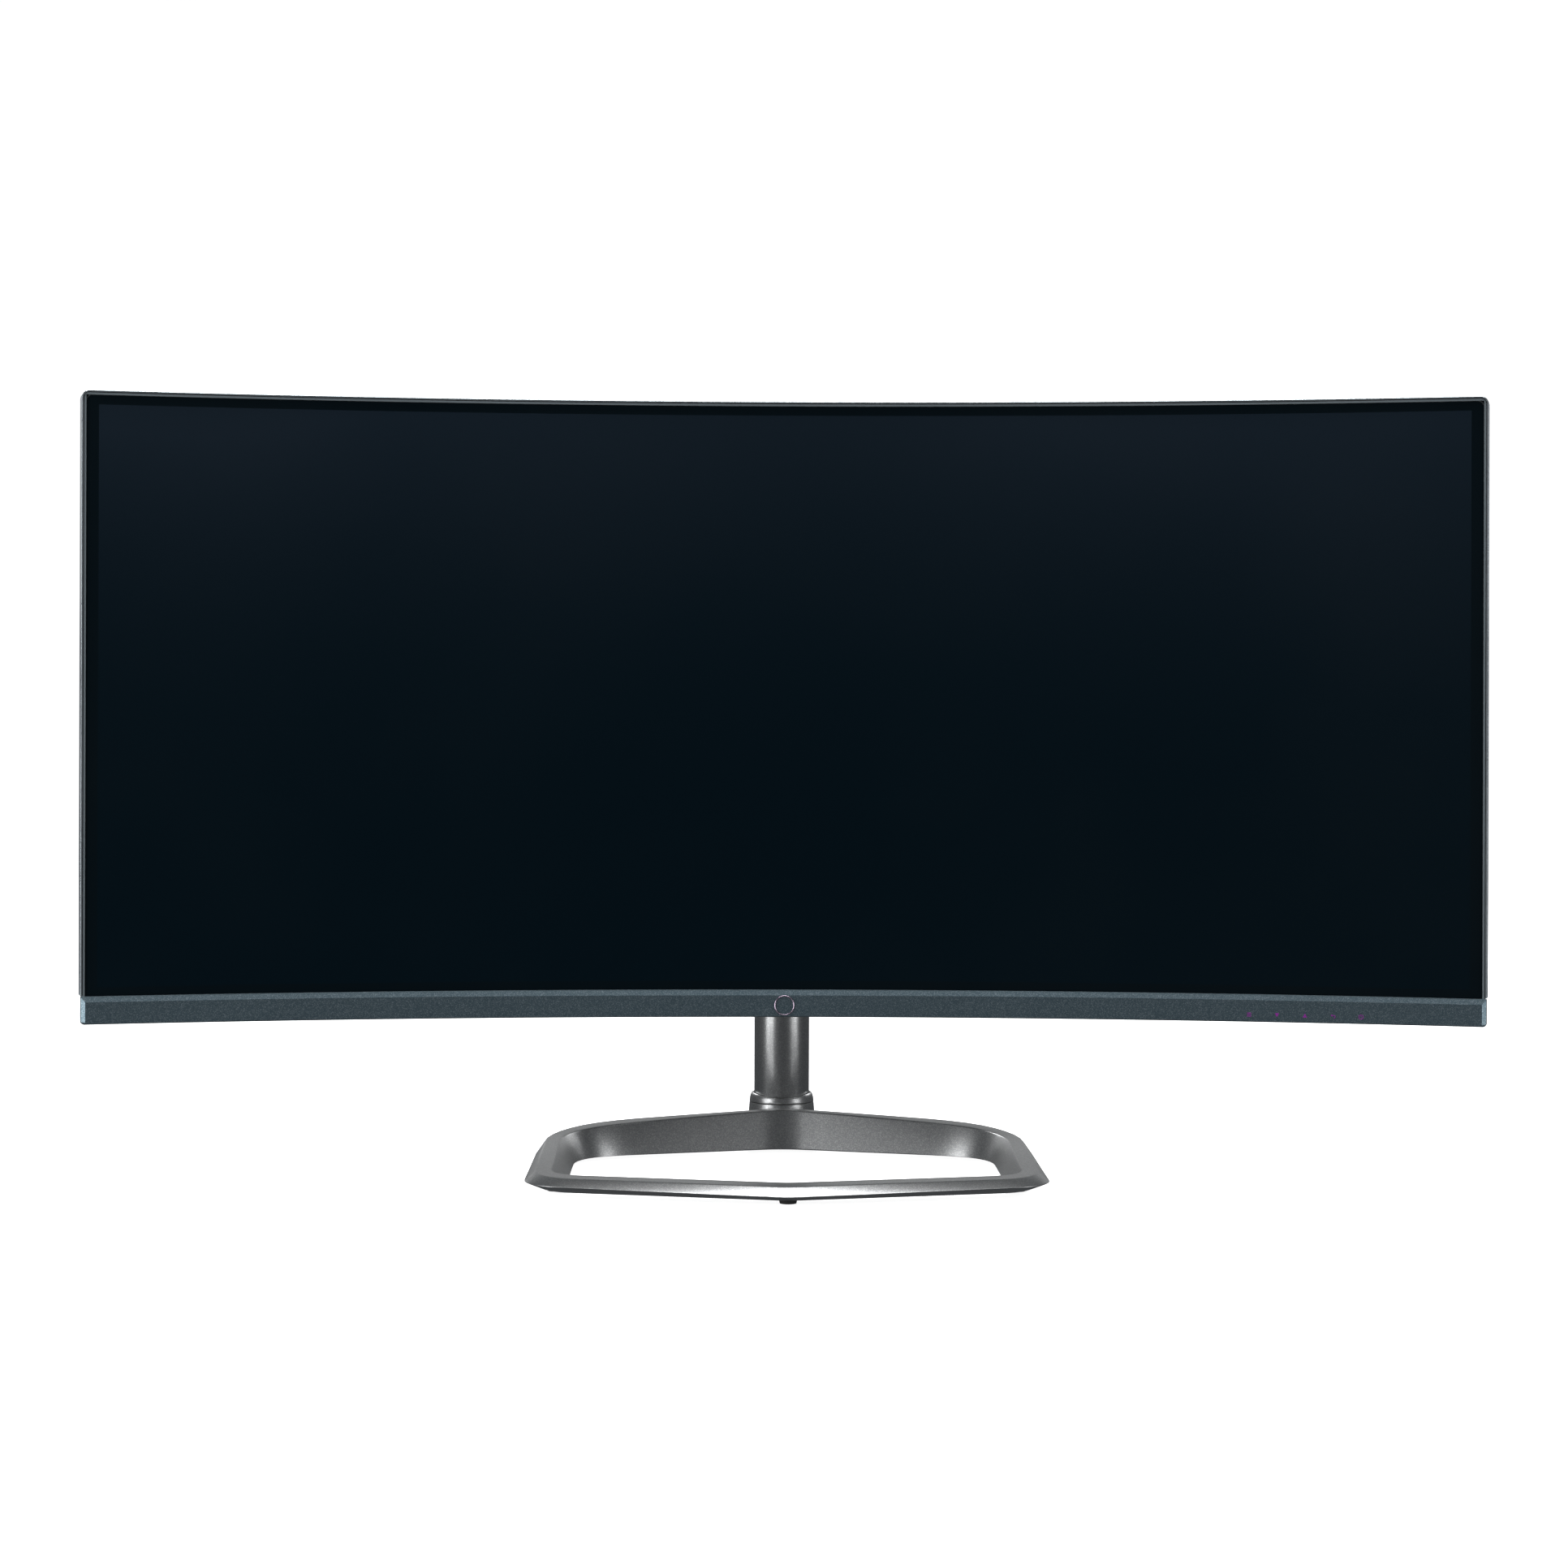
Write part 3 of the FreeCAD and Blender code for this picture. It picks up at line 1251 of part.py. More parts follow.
def build_base():
    """Build the ring base with its hub, feet, swivel post, collar and washers."""
    foot = "size.foot_height"
    top = "size.hub_high"
    rim = "size.hub_radius"
    hub = turned("hub", [("0", foot), (f"{rim} - size.hub_toe", foot),
                         (rim, f"{foot} + size.hub_toe_height"),
                         (f"{rim} - size.hub_draft", "size.hub_wall_high"),
                         (f"{rim} - size.hub_shoulder", "size.hub_rim_high"),
                         ("size.collar_radius", "size.hub_rim_high"),
                         ("size.collar_radius", "size.boss_high"), ("0", "size.boss_high")])
    web = span_block("hub_web", "0 - size.web_half_width", "size.web_half_width",
                     "0 - size.web_front", "0", foot, "size.web_high")
    hole = "size.screw_radius + size.screw_relief"
    seat = "size.insert_radius + size.insert_gap"
    open_top = f"{top} + size.deep_overcut"
    bore = turned("hub_bore", [("0", "0"), ("size.recess_radius", "0"),
                               ("size.recess_radius", "size.recess_high"),
                               (hole, "size.recess_high"), (hole, "size.insert_low"),
                               (seat, "size.insert_low"), (seat, open_top), ("0", open_top)])
    solid = fuse("base_solid", [build_casting(), hub, web])
    node(cut("base_cut", solid, [bore]), "base_ring")
    feet = [rod(f"foot_{index}", radius, foot, across, back, "0")
            for index, (across, back, radius) in enumerate(FEET)]
    node(group("foot_set", feet), "rubber_feet")
    node(ring("hub_pad", "size.pad_inner", "size.pad_outer", "0", foot), "hub_pad")
    build_swivel()


def build_swivel():
    """Build the post, collar, washer and retaining ring on which the column turns."""
    thread = "size.screw_radius + size.running_gap"
    post = "size.post_radius"
    post_top = "size.post_high"
    spigot = "size.spigot_radius"
    top = "size.hub_high"
    seam = "size.seam_height"
    node(turned("foot_insert", [("0", "size.thread_top"), (thread, "size.thread_top"),
                                (thread, "size.insert_low"),
                                ("size.insert_radius", "size.insert_low"),
                                ("size.insert_radius", top), (post, top), (post, post_top),
                                (spigot, post_top), (spigot, "size.spigot_high"),
                                ("0", "size.spigot_high")]), "foot_insert")
    collar_bore = "size.lower_collar_bore"
    node(turned("lower_collar", [(collar_bore, "size.boss_high"),
                                 ("size.collar_radius", "size.boss_high"),
                                 ("size.collar_neck", seam), (collar_bore, seam)]),
         "lower_collar")
    node(ring("swivel_washer", f"{post} + size.washer_inner_gap", "size.washer_outer", top,
              seam), "swivel_washer")
    node(ring("retaining_ring", spigot, "size.retainer_radius", post_top,
              f"{post_top} + size.retainer_wall"), "retaining_ring")


def build_thumbscrew():
    """Build the captive thumbscrew and its folding ring."""
    screw = turned("screw_blank", [("0", "size.screw_head_low"),
                                   ("size.screw_head_radius", "size.screw_head_low"),
                                   ("size.screw_head_radius", "size.screw_head_high"),
                                   ("size.screw_radius", "size.screw_head_high"),
                                   ("size.screw_radius", "size.screw_tip"),
                                   ("0", "size.screw_tip")])
    lug = span_block("screw_lug", "0 - size.lug_half_width", "size.lug_half_width",
                     "0 - size.lug_half_depth", "size.lug_half_depth", "size.lug_low",
                     "size.screw_head_low + size.screw_relief")
    eye = rod("screw_eye", "size.ring_wire + size.washer_gap", "2*size.deep_overcut",
              "0 - size.deep_overcut", "0", "size.ring_axis_height", "x")
    node(cut("screw", fuse("screw_solid", [screw, lug]), [eye]), "thumbscrew")

    hoop = doc.addObject("Part::Torus", "hoop")
    hoop.setExpression("Radius1", "size.ring_reach")
    hoop.setExpression("Radius2", "size.ring_wire")
    hoop.Angle3 = 180.0
    place(hoop, "0", "0", "size.ring_axis_height", TURN, 180.0)
    bar = rod("hoop_bar", "size.ring_wire", "2*size.ring_reach", "0 - size.ring_reach", "0",
              "size.ring_axis_height", "x")
    node(fuse("hoop_ring", [hoop, bar]), "thumbscrew_ring")


def check_and_write():
    """Check every object and write each sub-part to its own file."""
    doc.recompute()
    failed = [item.Name for item in doc.Objects
              if "Invalid" in item.State or "Error" in item.State]
    broken = [item.Label for item in NODES if item.Shape.isNull() or not item.Shape.isValid()]
    if failed or broken:
        raise RuntimeError(f"failed objects {failed}, invalid sub-parts {broken}")
    os.makedirs("parts", exist_ok=True)
    for item in NODES:
        item.Shape.exportStep(os.path.join("parts", f"{item.Label}.step"))
    print(len(NODES), "sub-parts written")


build_panel()
build_trim()
build_chin()
build_buttons()
build_cover()
build_cover_screws()
build_chassis()
build_dock()
build_boards()
build_sockets()
build_cables()
build_head()
build_column()
build_spring()
build_base()
build_thumbscrew()
check_and_write()
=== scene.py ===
import logging
import math
from dataclasses import dataclass, field
from enum import Enum
from typing import Callable, Iterable, Optional, Sequence

import bmesh
import bpy
from mathutils import Matrix, Vector


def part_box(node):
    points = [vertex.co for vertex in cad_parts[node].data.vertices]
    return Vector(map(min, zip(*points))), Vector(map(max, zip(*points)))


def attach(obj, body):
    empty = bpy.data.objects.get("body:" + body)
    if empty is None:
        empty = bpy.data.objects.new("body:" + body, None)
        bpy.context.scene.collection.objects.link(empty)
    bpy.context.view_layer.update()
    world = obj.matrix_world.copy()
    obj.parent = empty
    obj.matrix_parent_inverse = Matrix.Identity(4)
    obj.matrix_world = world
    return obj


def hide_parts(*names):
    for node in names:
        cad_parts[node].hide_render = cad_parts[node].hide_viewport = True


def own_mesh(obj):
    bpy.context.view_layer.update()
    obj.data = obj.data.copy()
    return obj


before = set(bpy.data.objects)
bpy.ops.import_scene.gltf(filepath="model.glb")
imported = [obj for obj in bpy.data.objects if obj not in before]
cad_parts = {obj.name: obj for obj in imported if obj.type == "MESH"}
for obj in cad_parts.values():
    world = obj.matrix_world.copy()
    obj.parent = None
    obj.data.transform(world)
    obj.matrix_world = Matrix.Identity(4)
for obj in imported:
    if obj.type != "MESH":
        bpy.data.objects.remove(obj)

LOG = logging.getLogger("monitor")
MM = 0.001
SHARP_DEGREES = 32.0
MERGE_GAP = 2e-6
CUT_GAP = 1e-7
Point = tuple[float, float, float]
Colour = tuple[float, float, float]


class Grain(Enum):
    """The direction in which a brushed surface's lines run."""

    ALONG_X = (0.02, 1.0, 1.0)
    ALONG_Z = (1.0, 1.0, 0.02)


class Mark(Enum):
    """The generic signs beside the push buttons."""

    MENU = "menu"
    DOWN = "down"
    UP = "up"
    BACK = "back"
    POWER = "power"


# ---- node trees ---------------------------------------------------------------------------


class NodeBench:
    """Adds nodes to one tree and wires them."""

    def __init__(self, tree: bpy.types.NodeTree) -> None:
        """Take the tree to work on.

        Args:
            tree: a shader or geometry node tree.
        """
        self.tree = tree

    def add(self, kind: str, **settings: object) -> bpy.types.Node:
        """Add one node and set its properties.

        Args:
            kind: the node's type name.
            settings: properties of the node by name.

        Returns:
            The new node.
        """
        node = self.tree.nodes.new(kind)
        for name, value in settings.items():
            setattr(node, name, value)
        return node

    def wire(self, source: bpy.types.NodeSocket, target: bpy.types.NodeSocket) -> None:
        """Join two sockets."""
        self.tree.links.new(source, target)

    def feed(self, target: bpy.types.NodeSocket, value: object) -> None:
        """Wire a socket to the target, or set the target to a plain value.

        Args:
            target: the input socket.
            value: an output socket or a plain value.
        """
        if isinstance(value, bpy.types.NodeSocket):
            self.wire(value, target)
        else:
            target.default_value = value

    def sum_up(self, operation: str, *values: object) -> bpy.types.NodeSocket:
        """Add a Math node over sockets or numbers.

        Args:
            operation: the Math node's operation.
            values: its inputs in order.

        Returns:
            The result socket.
        """
        node = self.add("ShaderNodeMath", operation=operation)
        for target, value in zip(node.inputs, values):
            self.feed(target, value)
        return node.outputs[0]

    def blend(self, share: object, low: object, high: object) -> bpy.types.NodeSocket:
        """Mix two colours by a share from 0 to 1 and return the colour socket.

        Args:
            share: how much of the second colour shows, a socket or a number.
            low: the first colour, a socket or a value.
            high: the second colour, a socket or a value.

        Returns:
            The mixed colour's socket.
        """
        node = self.add("ShaderNodeMix", data_type="RGBA")
        self.feed(node.inputs[0], share)
        self.feed(node.inputs[6], low)
        self.feed(node.inputs[7], high)
        return node.outputs[2]

    def noise(self, vector: bpy.types.NodeSocket, scale: object,
              detail: float = 2.0) -> bpy.types.NodeSocket:
        """Add a noise texture and return its value socket.

        Args:
            vector: the place at which it is read.
            scale: its scale, a socket or a number.
            detail: its number of octaves.

        Returns:
            The noise's value socket.
        """
        node = self.add("ShaderNodeTexNoise")
        self.wire(vector, node.inputs["Vector"])
        self.feed(node.inputs["Scale"], scale)
        node.inputs["Detail"].default_value = detail
        return node.outputs[0]

    def remap(self, value: bpy.types.NodeSocket, low: float, high: float, to_low: float,
              to_high: float) -> bpy.types.NodeSocket:
        """Map a value range to another, clamped, and return the result socket.

        Args:
            value: the value to map.
            low: where the range starts.
            high: where the range ends.
            to_low: the result at its start.
            to_high: the result at its end.

        Returns:
            The mapped value's socket.
        """
        node = self.add("ShaderNodeMapRange")
        self.wire(value, node.inputs["Value"])
        for name, number in (("From Min", low), ("From Max", high), ("To Min", to_low),
                             ("To Max", to_high)):
            node.inputs[name].default_value = number
        return node.outputs[0]


def rgba(colour: Colour) -> tuple[float, float, float, float]:
    """Give a colour its full alpha."""
    return (colour[0], colour[1], colour[2], 1.0)


class Effects:
    """The shader node groups that several finishes share."""

    def __init__(self) -> None:
        """Build each group once."""
        self.flake = self._flake()
        self.grain = self._grain()
        self.brushed = self._brushed()
        self.handling = self._handling()

    @staticmethod
    def _open(name: str, inputs: Sequence[str], outputs: Sequence[str]) -> tuple:
        """Start a group with a Vector input and named numbers.

        Args:
            name: the group's name.
            inputs: names of its number inputs.
            outputs: names of its number outputs.

        Returns:
            The tree, its bench, its input node and its output node.
        """
        tree = bpy.data.node_groups.new(name, "ShaderNodeTree")
        tree.interface.new_socket(name="Vector", in_out="INPUT", socket_type="NodeSocketVector")
        for label in inputs:
            tree.interface.new_socket(name=label, in_out="INPUT", socket_type="NodeSocketFloat")
        for label in outputs:
            tree.interface.new_socket(name=label, in_out="OUTPUT",
                                      socket_type="NodeSocketFloat")
        bench = NodeBench(tree)
        return tree, bench, bench.add("NodeGroupInput"), bench.add("NodeGroupOutput")

    def _flake(self) -> bpy.types.NodeTree:
        """Build the metal flake group: a sparkle value for each small cell.

        Returns:
            The node group.
        """
        tree, bench, source, target = self._open("metal_flake", ["Scale", "Contrast"],
                                                 ["Sparkle", "Height"])
        cells = bench.add("ShaderNodeTexVoronoi")
        bench.wire(source.outputs["Vector"], cells.inputs["Vector"])
        bench.wire(source.outputs["Scale"], cells.inputs["Scale"])
        split = bench.add("ShaderNodeSeparateColor")
        bench.wire(cells.outputs["Color"], split.inputs[0])
        power = bench.sum_up("POWER", split.outputs[0], source.outputs["Contrast"])
        bench.wire(power, target.inputs["Sparkle"])
        soft = bench.noise(source.outputs["Vector"], source.outputs["Scale"], 3.0)
        bench.wire(soft, target.inputs["Height"])
        return tree

    def _grain(self) -> bpy.types.NodeTree:
        """Build the moulded grain group: fine bumps and a slow tone drift.

        Returns:
            The node group.
        """
        tree, bench, source, target = self._open("moulded_grain", ["Scale"],
                                                 ["Height", "Drift"])
        fine = bench.noise(source.outputs["Vector"], source.outputs["Scale"], 4.0)
        bench.wire(fine, target.inputs["Height"])
        bench.wire(bench.noise(source.outputs["Vector"], 9.0, 2.0), target.inputs["Drift"])
        return tree

    def _brushed(self) -> bpy.types.NodeTree:
        """Build the brushed group: long lines from a stretched noise.

        Returns:
            The node group.
        """
        tree, bench, source, target = self._open("brushed_lines", ["Fineness"],
                                                 ["Height", "Streak"])
        fine = bench.noise(source.outputs["Vector"], source.outputs["Fineness"], 5.0)
        bench.wire(fine, target.inputs["Height"])
        bench.wire(bench.remap(fine, 0.35, 0.65, 0.0, 1.0), target.inputs["Streak"])
        return tree

    def _handling(self) -> bpy.types.NodeTree:
        """Build the handling group: soft smudges that change the gloss.

        Returns:
            The node group.
        """
        tree, bench, source, target = self._open("handling_marks", ["Scale"],
                                                 ["Smudge", "Speck"])
        slow = bench.noise(source.outputs["Vector"], source.outputs["Scale"], 3.0)
        bench.wire(bench.remap(slow, 0.4, 0.62, 0.0, 1.0), target.inputs["Smudge"])
        dust = bench.noise(source.outputs["Vector"], 900.0, 1.0)
        bench.wire(bench.remap(dust, 0.72, 0.8, 0.0, 1.0), target.inputs["Speck"])
        return tree


# ---- finishes -----------------------------------------------------------------------------


class Surface:
    """A material under way: its principled shader, object coordinates and bench."""

    def __init__(self, name: str) -> None:
        """Start a node material.

        Args:
            name: the material's name.
        """
        self.material = bpy.data.materials.new(name)
        self.material.use_nodes = True
        self.bench = NodeBench(self.material.node_tree)
        self.shader = self.material.node_tree.nodes["Principled BSDF"]
        self.place = self.bench.add("ShaderNodeTexCoord").outputs["Object"]

    def group(self, tree: bpy.types.NodeTree, vector: Optional[bpy.types.NodeSocket] = None,
              **numbers: float) -> bpy.types.Node:
        """Place a shared group with its own values.

        Args:
            tree: the group's tree.
            vector: coordinates, or None for object coordinates.
            numbers: the group's number inputs by name.

        Returns:
            The group node.
        """
        node = self.bench.add("ShaderNodeGroup", node_tree=tree)
        self.bench.wire(self.place if vector is None else vector, node.inputs["Vector"])
        for name, number in numbers.items():
            node.inputs[name].default_value = number
        return node

    def bump(self, height: bpy.types.NodeSocket, strength: float, distance: float) -> None:
        """Feed a height to the shader's normal.

        Args:
            height: the height's socket.
            strength: the bump's strength.
            distance: the height's reach.
        """
        node = self.bench.add("ShaderNodeBump")
        node.inputs["Strength"].default_value = strength
        node.inputs["Distance"].default_value = distance
        self.bench.wire(height, node.inputs["Height"])
        self.bench.wire(node.outputs["Normal"], self.shader.inputs["Normal"])

    def set(self, **numbers: float) -> None:
        """Set plain values on the shader's own sockets, with _ for a space in a name."""
        for name, number in numbers.items():
            self.shader.inputs[name.replace("_", " ")].default_value = number


@dataclass(frozen=True)
class MetallicPaint:
    """Satin paint with fine metal flake."""

    name: str
    shade: Colour
    flake: Colour
    roughness: float = 0.38
    metal: float = 0.6
    flake_scale: float = 2600.0
    contrast: float = 3.0
    amount: float = 0.45
    specular: float = 0.5

    def build(self, effects: Effects) -> bpy.types.Material:
        """Make the material.

        Args:
            effects: the shared node groups.

        Returns:
            The finished material.
        """
        surface = Surface(self.name)
        bench = surface.bench
        flake = surface.group(effects.flake, Scale=self.flake_scale, Contrast=self.contrast)
        marks = surface.group(effects.handling, Scale=14.0)
        share = bench.sum_up("MULTIPLY", flake.outputs["Sparkle"], self.amount)
        colour = bench.blend(share, rgba(self.shade), rgba(self.flake))
        bench.wire(colour, surface.shader.inputs["Base Color"])
        rough = bench.remap(marks.outputs["Smudge"], 0.0, 1.0, self.roughness - 0.005,
                            self.roughness + 0.01)
        bench.wire(rough, surface.shader.inputs["Roughness"])
        surface.bump(flake.outputs["Height"], 0.12, 0.0001)
        surface.set(Metallic=self.metal, Specular_IOR_Level=self.specular)
        return surface.material


@dataclass(frozen=True)
class MouldedPlastic:
    """Injection-moulded plastic with a fine spark-eroded grain."""

    name: str
    shade: Colour
    roughness: float = 0.5
    grain_scale: float = 1400.0
    grain_depth: float = 0.35

    def build(self, effects: Effects) -> bpy.types.Material:
        """Make the material.

        Args:
            effects: the shared node groups.

        Returns:
            The finished material.
        """
        surface = Surface(self.name)
        bench = surface.bench
        grain = surface.group(effects.grain, Scale=self.grain_scale)
        marks = surface.group(effects.handling, Scale=11.0)
        lighter = tuple(min(1.0, part * 1.35 + 0.004) for part in self.shade)
        colour = bench.blend(grain.outputs["Drift"], rgba(self.shade), rgba(lighter))
        dusty = tuple(min(1.0, part * 1.5 + 0.02) for part in self.shade)
        speck = bench.sum_up("MULTIPLY", marks.outputs["Speck"], 0.5)
        bench.wire(bench.blend(speck, colour, rgba(dusty)), surface.shader.inputs["Base Color"])
        rough = bench.remap(marks.outputs["Smudge"], 0.0, 1.0, self.roughness,
                            self.roughness + 0.1)
        bench.wire(rough, surface.shader.inputs["Roughness"])
        surface.bump(grain.outputs["Height"], self.grain_depth, 0.0002)
        return surface.material


@dataclass(frozen=True)
class BrushedMetal:
    """Bare or plated metal with fine drawn lines."""

    name: str
    shade: Colour
    grain: Grain = Grain.ALONG_X
    roughness: float = 0.3
    fineness: float = 900.0

    def build(self, effects: Effects) -> bpy.types.Material:
        """Make the material.

        Args:
            effects: the shared node groups.

        Returns:
            The finished material.
        """
        surface = Surface(self.name)
        bench = surface.bench
        stretch = bench.add("ShaderNodeMapping")
        stretch.inputs["Scale"].default_value = self.grain.value
        bench.wire(surface.place, stretch.inputs["Vector"])
        lines = surface.group(effects.brushed, stretch.outputs[0], Fineness=self.fineness)
        marks = surface.group(effects.handling, Scale=20.0)
        darker = tuple(part * 0.88 for part in self.shade)
        colour = bench.blend(lines.outputs["Streak"], rgba(darker), rgba(self.shade))
        bench.wire(colour, surface.shader.inputs["Base Color"])
        rough = bench.remap(marks.outputs["Smudge"], 0.0, 1.0, self.roughness - 0.01,
                            self.roughness + 0.02)
        bench.wire(rough, surface.shader.inputs["Roughness"])
        surface.bump(lines.outputs["Height"], 0.15, 0.0001)
        surface.set(Metallic=1.0)
        return surface.material


@dataclass(frozen=True)
class ScreenGlass:
    """Anti-glare front of a dark panel, with a printed border round the picture area. The
    picture area's tone is the panel's blue-black plus painted reflection of the room, lighter
    towards the top.
    """

    name: str
    radius: float
    curve_y: float
    half_picture: float
    picture_low: float
    picture_high: float
    # the low tone is the panel's blue-black plus painted reflection; the high tone is the
    # painted reflection at the top of the picture area
    low_glass_and_reflection: Colour = (0.0002, 0.0048, 0.0088)
    high_painted_reflection: Colour = (0.0078, 0.0148, 0.0235)
    border: Colour = (0.0008, 0.0042, 0.0068)

    def build(self, effects: Effects) -> bpy.types.Material:
        """Make the material.

        Args:
            effects: the shared node groups.

        Returns:
            The finished material.
        """
        surface = Surface(self.name)
        bench = surface.bench
        split = bench.add("ShaderNodeSeparateXYZ")
        bench.wire(surface.place, split.inputs[0])
        across, depth, height = split.outputs
        ahead = bench.sum_up("SUBTRACT", depth, self.curve_y)
        angle = bench.sum_up("ARCTAN2", across, ahead)
        arc = bench.sum_up("ABSOLUTE", bench.sum_up("MULTIPLY", angle, self.radius))
        side = bench.sum_up("GREATER_THAN", arc, self.half_picture)
        above = bench.sum_up("GREATER_THAN", height, self.picture_high)
        below = bench.sum_up("LESS_THAN", height, self.picture_low)
        outside = bench.sum_up("MAXIMUM", side, bench.sum_up("MAXIMUM", above, below))
        # painted reflection: the picture area turns lighter towards its top, mottled by a random
        # noise
        painted_reflection_climb = bench.remap(height, self.picture_low, self.picture_high, 0.0, 1.0)
        cloud = bench.noise(surface.place, 2.6, 1.0)
        drift = bench.sum_up("ADD", painted_reflection_climb, bench.remap(cloud, 0.3, 0.7, -0.08, 0.08))
        tone = bench.blend(bench.sum_up("POWER", bench.sum_up("MAXIMUM", drift, 0.0), 3.2),
                           rgba(self.low_glass_and_reflection), rgba(self.high_painted_reflection))
        colour = bench.blend(outside, tone, rgba(self.border))
        bench.wire(colour, surface.shader.inputs["Base Color"])
        grain = surface.group(effects.grain, Scale=2600.0)
        marks = surface.group(effects.handling, Scale=5.0)
        rough = bench.remap(marks.outputs["Smudge"], 0.0, 1.0, 0.3, 0.36)
        bench.wire(rough, surface.shader.inputs["Roughness"])
        surface.bump(grain.outputs["Height"], 0.06, 0.00005)
        surface.set(Specular_IOR_Level=0.16)
        return surface.material


@dataclass(frozen=True)
class BoardLacquer:
    """Green solder mask with faint copper tracks under it."""

    name: str
    shade: Colour = (0.012, 0.085, 0.04)

    def build(self, effects: Effects) -> bpy.types.Material:
        """Make the material.

        Args:
            effects: the shared node groups.

        Returns:
            The finished material.
        """
        surface = Surface(self.name)
        bench = surface.bench
        cells = bench.add("ShaderNodeTexBrick")
        cells.inputs["Scale"].default_value = 260.0
        bench.wire(surface.place, cells.inputs["Vector"])
        lighter = tuple(part * 1.7 for part in self.shade)
        track = bench.remap(cells.outputs["Fac"], 0.0, 1.0, 0.0, 0.7)
        bench.wire(bench.blend(track, rgba(self.shade), rgba(lighter)),
                   surface.shader.inputs["Base Color"])
        marks = surface.group(effects.handling, Scale=30.0)
        rough = bench.remap(marks.outputs["Smudge"], 0.0, 1.0, 0.25, 0.4)
        bench.wire(rough, surface.shader.inputs["Roughness"])
        surface.bump(cells.outputs["Fac"], 0.1, 0.0001)
        return surface.material


@dataclass(frozen=True)
class SignInk:
    """Pad-printed ink with a slightly uneven edge tone."""

    name: str
    shade: Colour

    def build(self, effects: Effects) -> bpy.types.Material:
        """Make the material.

        Args:
            effects: the shared node groups.

        Returns:
            The finished material.
        """
        surface = Surface(self.name)
        bench = surface.bench
        grain = surface.group(effects.grain, Scale=3000.0)
        paler = tuple(min(1.0, part * 1.25 + 0.01) for part in self.shade)
        bench.wire(bench.blend(grain.outputs["Height"], rgba(self.shade), rgba(paler)),
                   surface.shader.inputs["Base Color"])
        rough = bench.remap(grain.outputs["Drift"], 0.0, 1.0, 0.4, 0.55)
        bench.wire(rough, surface.shader.inputs["Roughness"])
        return surface.material


class Finishes:
    """Every finish of the monitor, built once and given by its use."""

    def __init__(self, effects: Effects, curve: "Curve") -> None:
        """Build the finishes.

        Args:
            effects: the shared node groups.
            curve: the screen's curve.
        """
        specs = {
            "stand": MetallicPaint("stand_paint", (0.3, 0.306, 0.31), (0.75, 0.75, 0.75),
                                   roughness=0.33, metal=0.9),
            "chin": MetallicPaint("chin_paint", (0.09, 0.135, 0.162), (0.42, 0.5, 0.54),
                                  roughness=0.38, metal=0.7, flake_scale=2600.0),
            "rim": BrushedMetal("rim_metal", (0.62, 0.68, 0.72), Grain.ALONG_X, 0.3, 1300.0),
            "badge": BrushedMetal("badge_metal", (0.62, 0.5, 0.62), Grain.ALONG_X, 0.25),
            "black": MouldedPlastic("black_plastic", (0.017, 0.018, 0.02), 0.46),
            "frame": MouldedPlastic("frame_plastic", (0.13, 0.155, 0.17), 0.4),
            "gasket": MouldedPlastic("glass_gasket", (0.03, 0.034, 0.037), 0.5, 900.0),
            "button": MouldedPlastic("button_plastic", (0.02, 0.021, 0.023), 0.36),
            "rubber": MouldedPlastic("foot_rubber", (0.012, 0.012, 0.012), 0.75, 700.0, 0.5),
            "steel": BrushedMetal("machined_steel", (0.55, 0.55, 0.56), Grain.ALONG_Z, 0.28),
            "zinc": BrushedMetal("zinc_plate", (0.62, 0.63, 0.64), Grain.ALONG_X, 0.36, 400.0),
            "cast": MouldedPlastic("cast_black", (0.022, 0.022, 0.024), 0.42, 900.0, 0.6),
            "acetal": MouldedPlastic("acetal", (0.62, 0.6, 0.55), 0.45, 800.0, 0.15),
            "acrylic": MouldedPlastic("clear_acrylic", (0.7, 0.74, 0.76), 0.12, 300.0, 0.05),
            "film": MouldedPlastic("optical_film", (0.75, 0.76, 0.76), 0.5, 2000.0, 0.1),
            "ribbon": MouldedPlastic("cable_ribbon", (0.5, 0.49, 0.46), 0.45, 500.0, 0.2),
            "board": BoardLacquer("board_lacquer"),
            "ink": SignInk("sign_ink", (0.235, 0.016, 0.275)),
            "glass": ScreenGlass("screen_glass", curve.radius, curve.centre_y,
                                 398.6 * MM, 107.7 * MM, 441.4 * MM),
        }
        self.made = {use: spec.build(effects) for use, spec in specs.items()}

    def __getitem__(self, use: str) -> bpy.types.Material:
        """Give the finish for a use."""
        return self.made[use]


# ---- geometry node trees ------------------------------------------------------------------


@dataclass(frozen=True)
class Curve:
    """The screen's curve: flat work is drawn as (arc, depth, height) and bent to it."""

    radius: float = 1500.0 * MM
    setback: float = 96.0 * MM

    @property
    def centre_y(self) -> float:
        """Give the y of the curve's axis."""
        return -self.setback - self.radius

    def at(self, arc: float, depth: float, height: float) -> Vector:
        """Give the place of one flat point on the curved monitor.

        Args:
            arc: the distance along the curve from the middle.
            depth: the distance behind the glass.
            height: the height above the desk.

        Returns:
            The place in the frame.
        """
        angle = arc / self.radius
        reach = self.radius + depth
        return Vector((reach * math.sin(angle), self.centre_y + reach * math.cos(angle),
                       height))

    def arc_of(self, point: Vector) -> float:
        """Give the arc of a place on the curved monitor."""
        return math.atan2(point.x, point.y - self.centre_y) * self.radius

    def depth_of(self, point: Vector) -> float:
        """Give the depth of a place behind the screen's front surface."""
        return math.hypot(point.x, point.y - self.centre_y) - self.radius


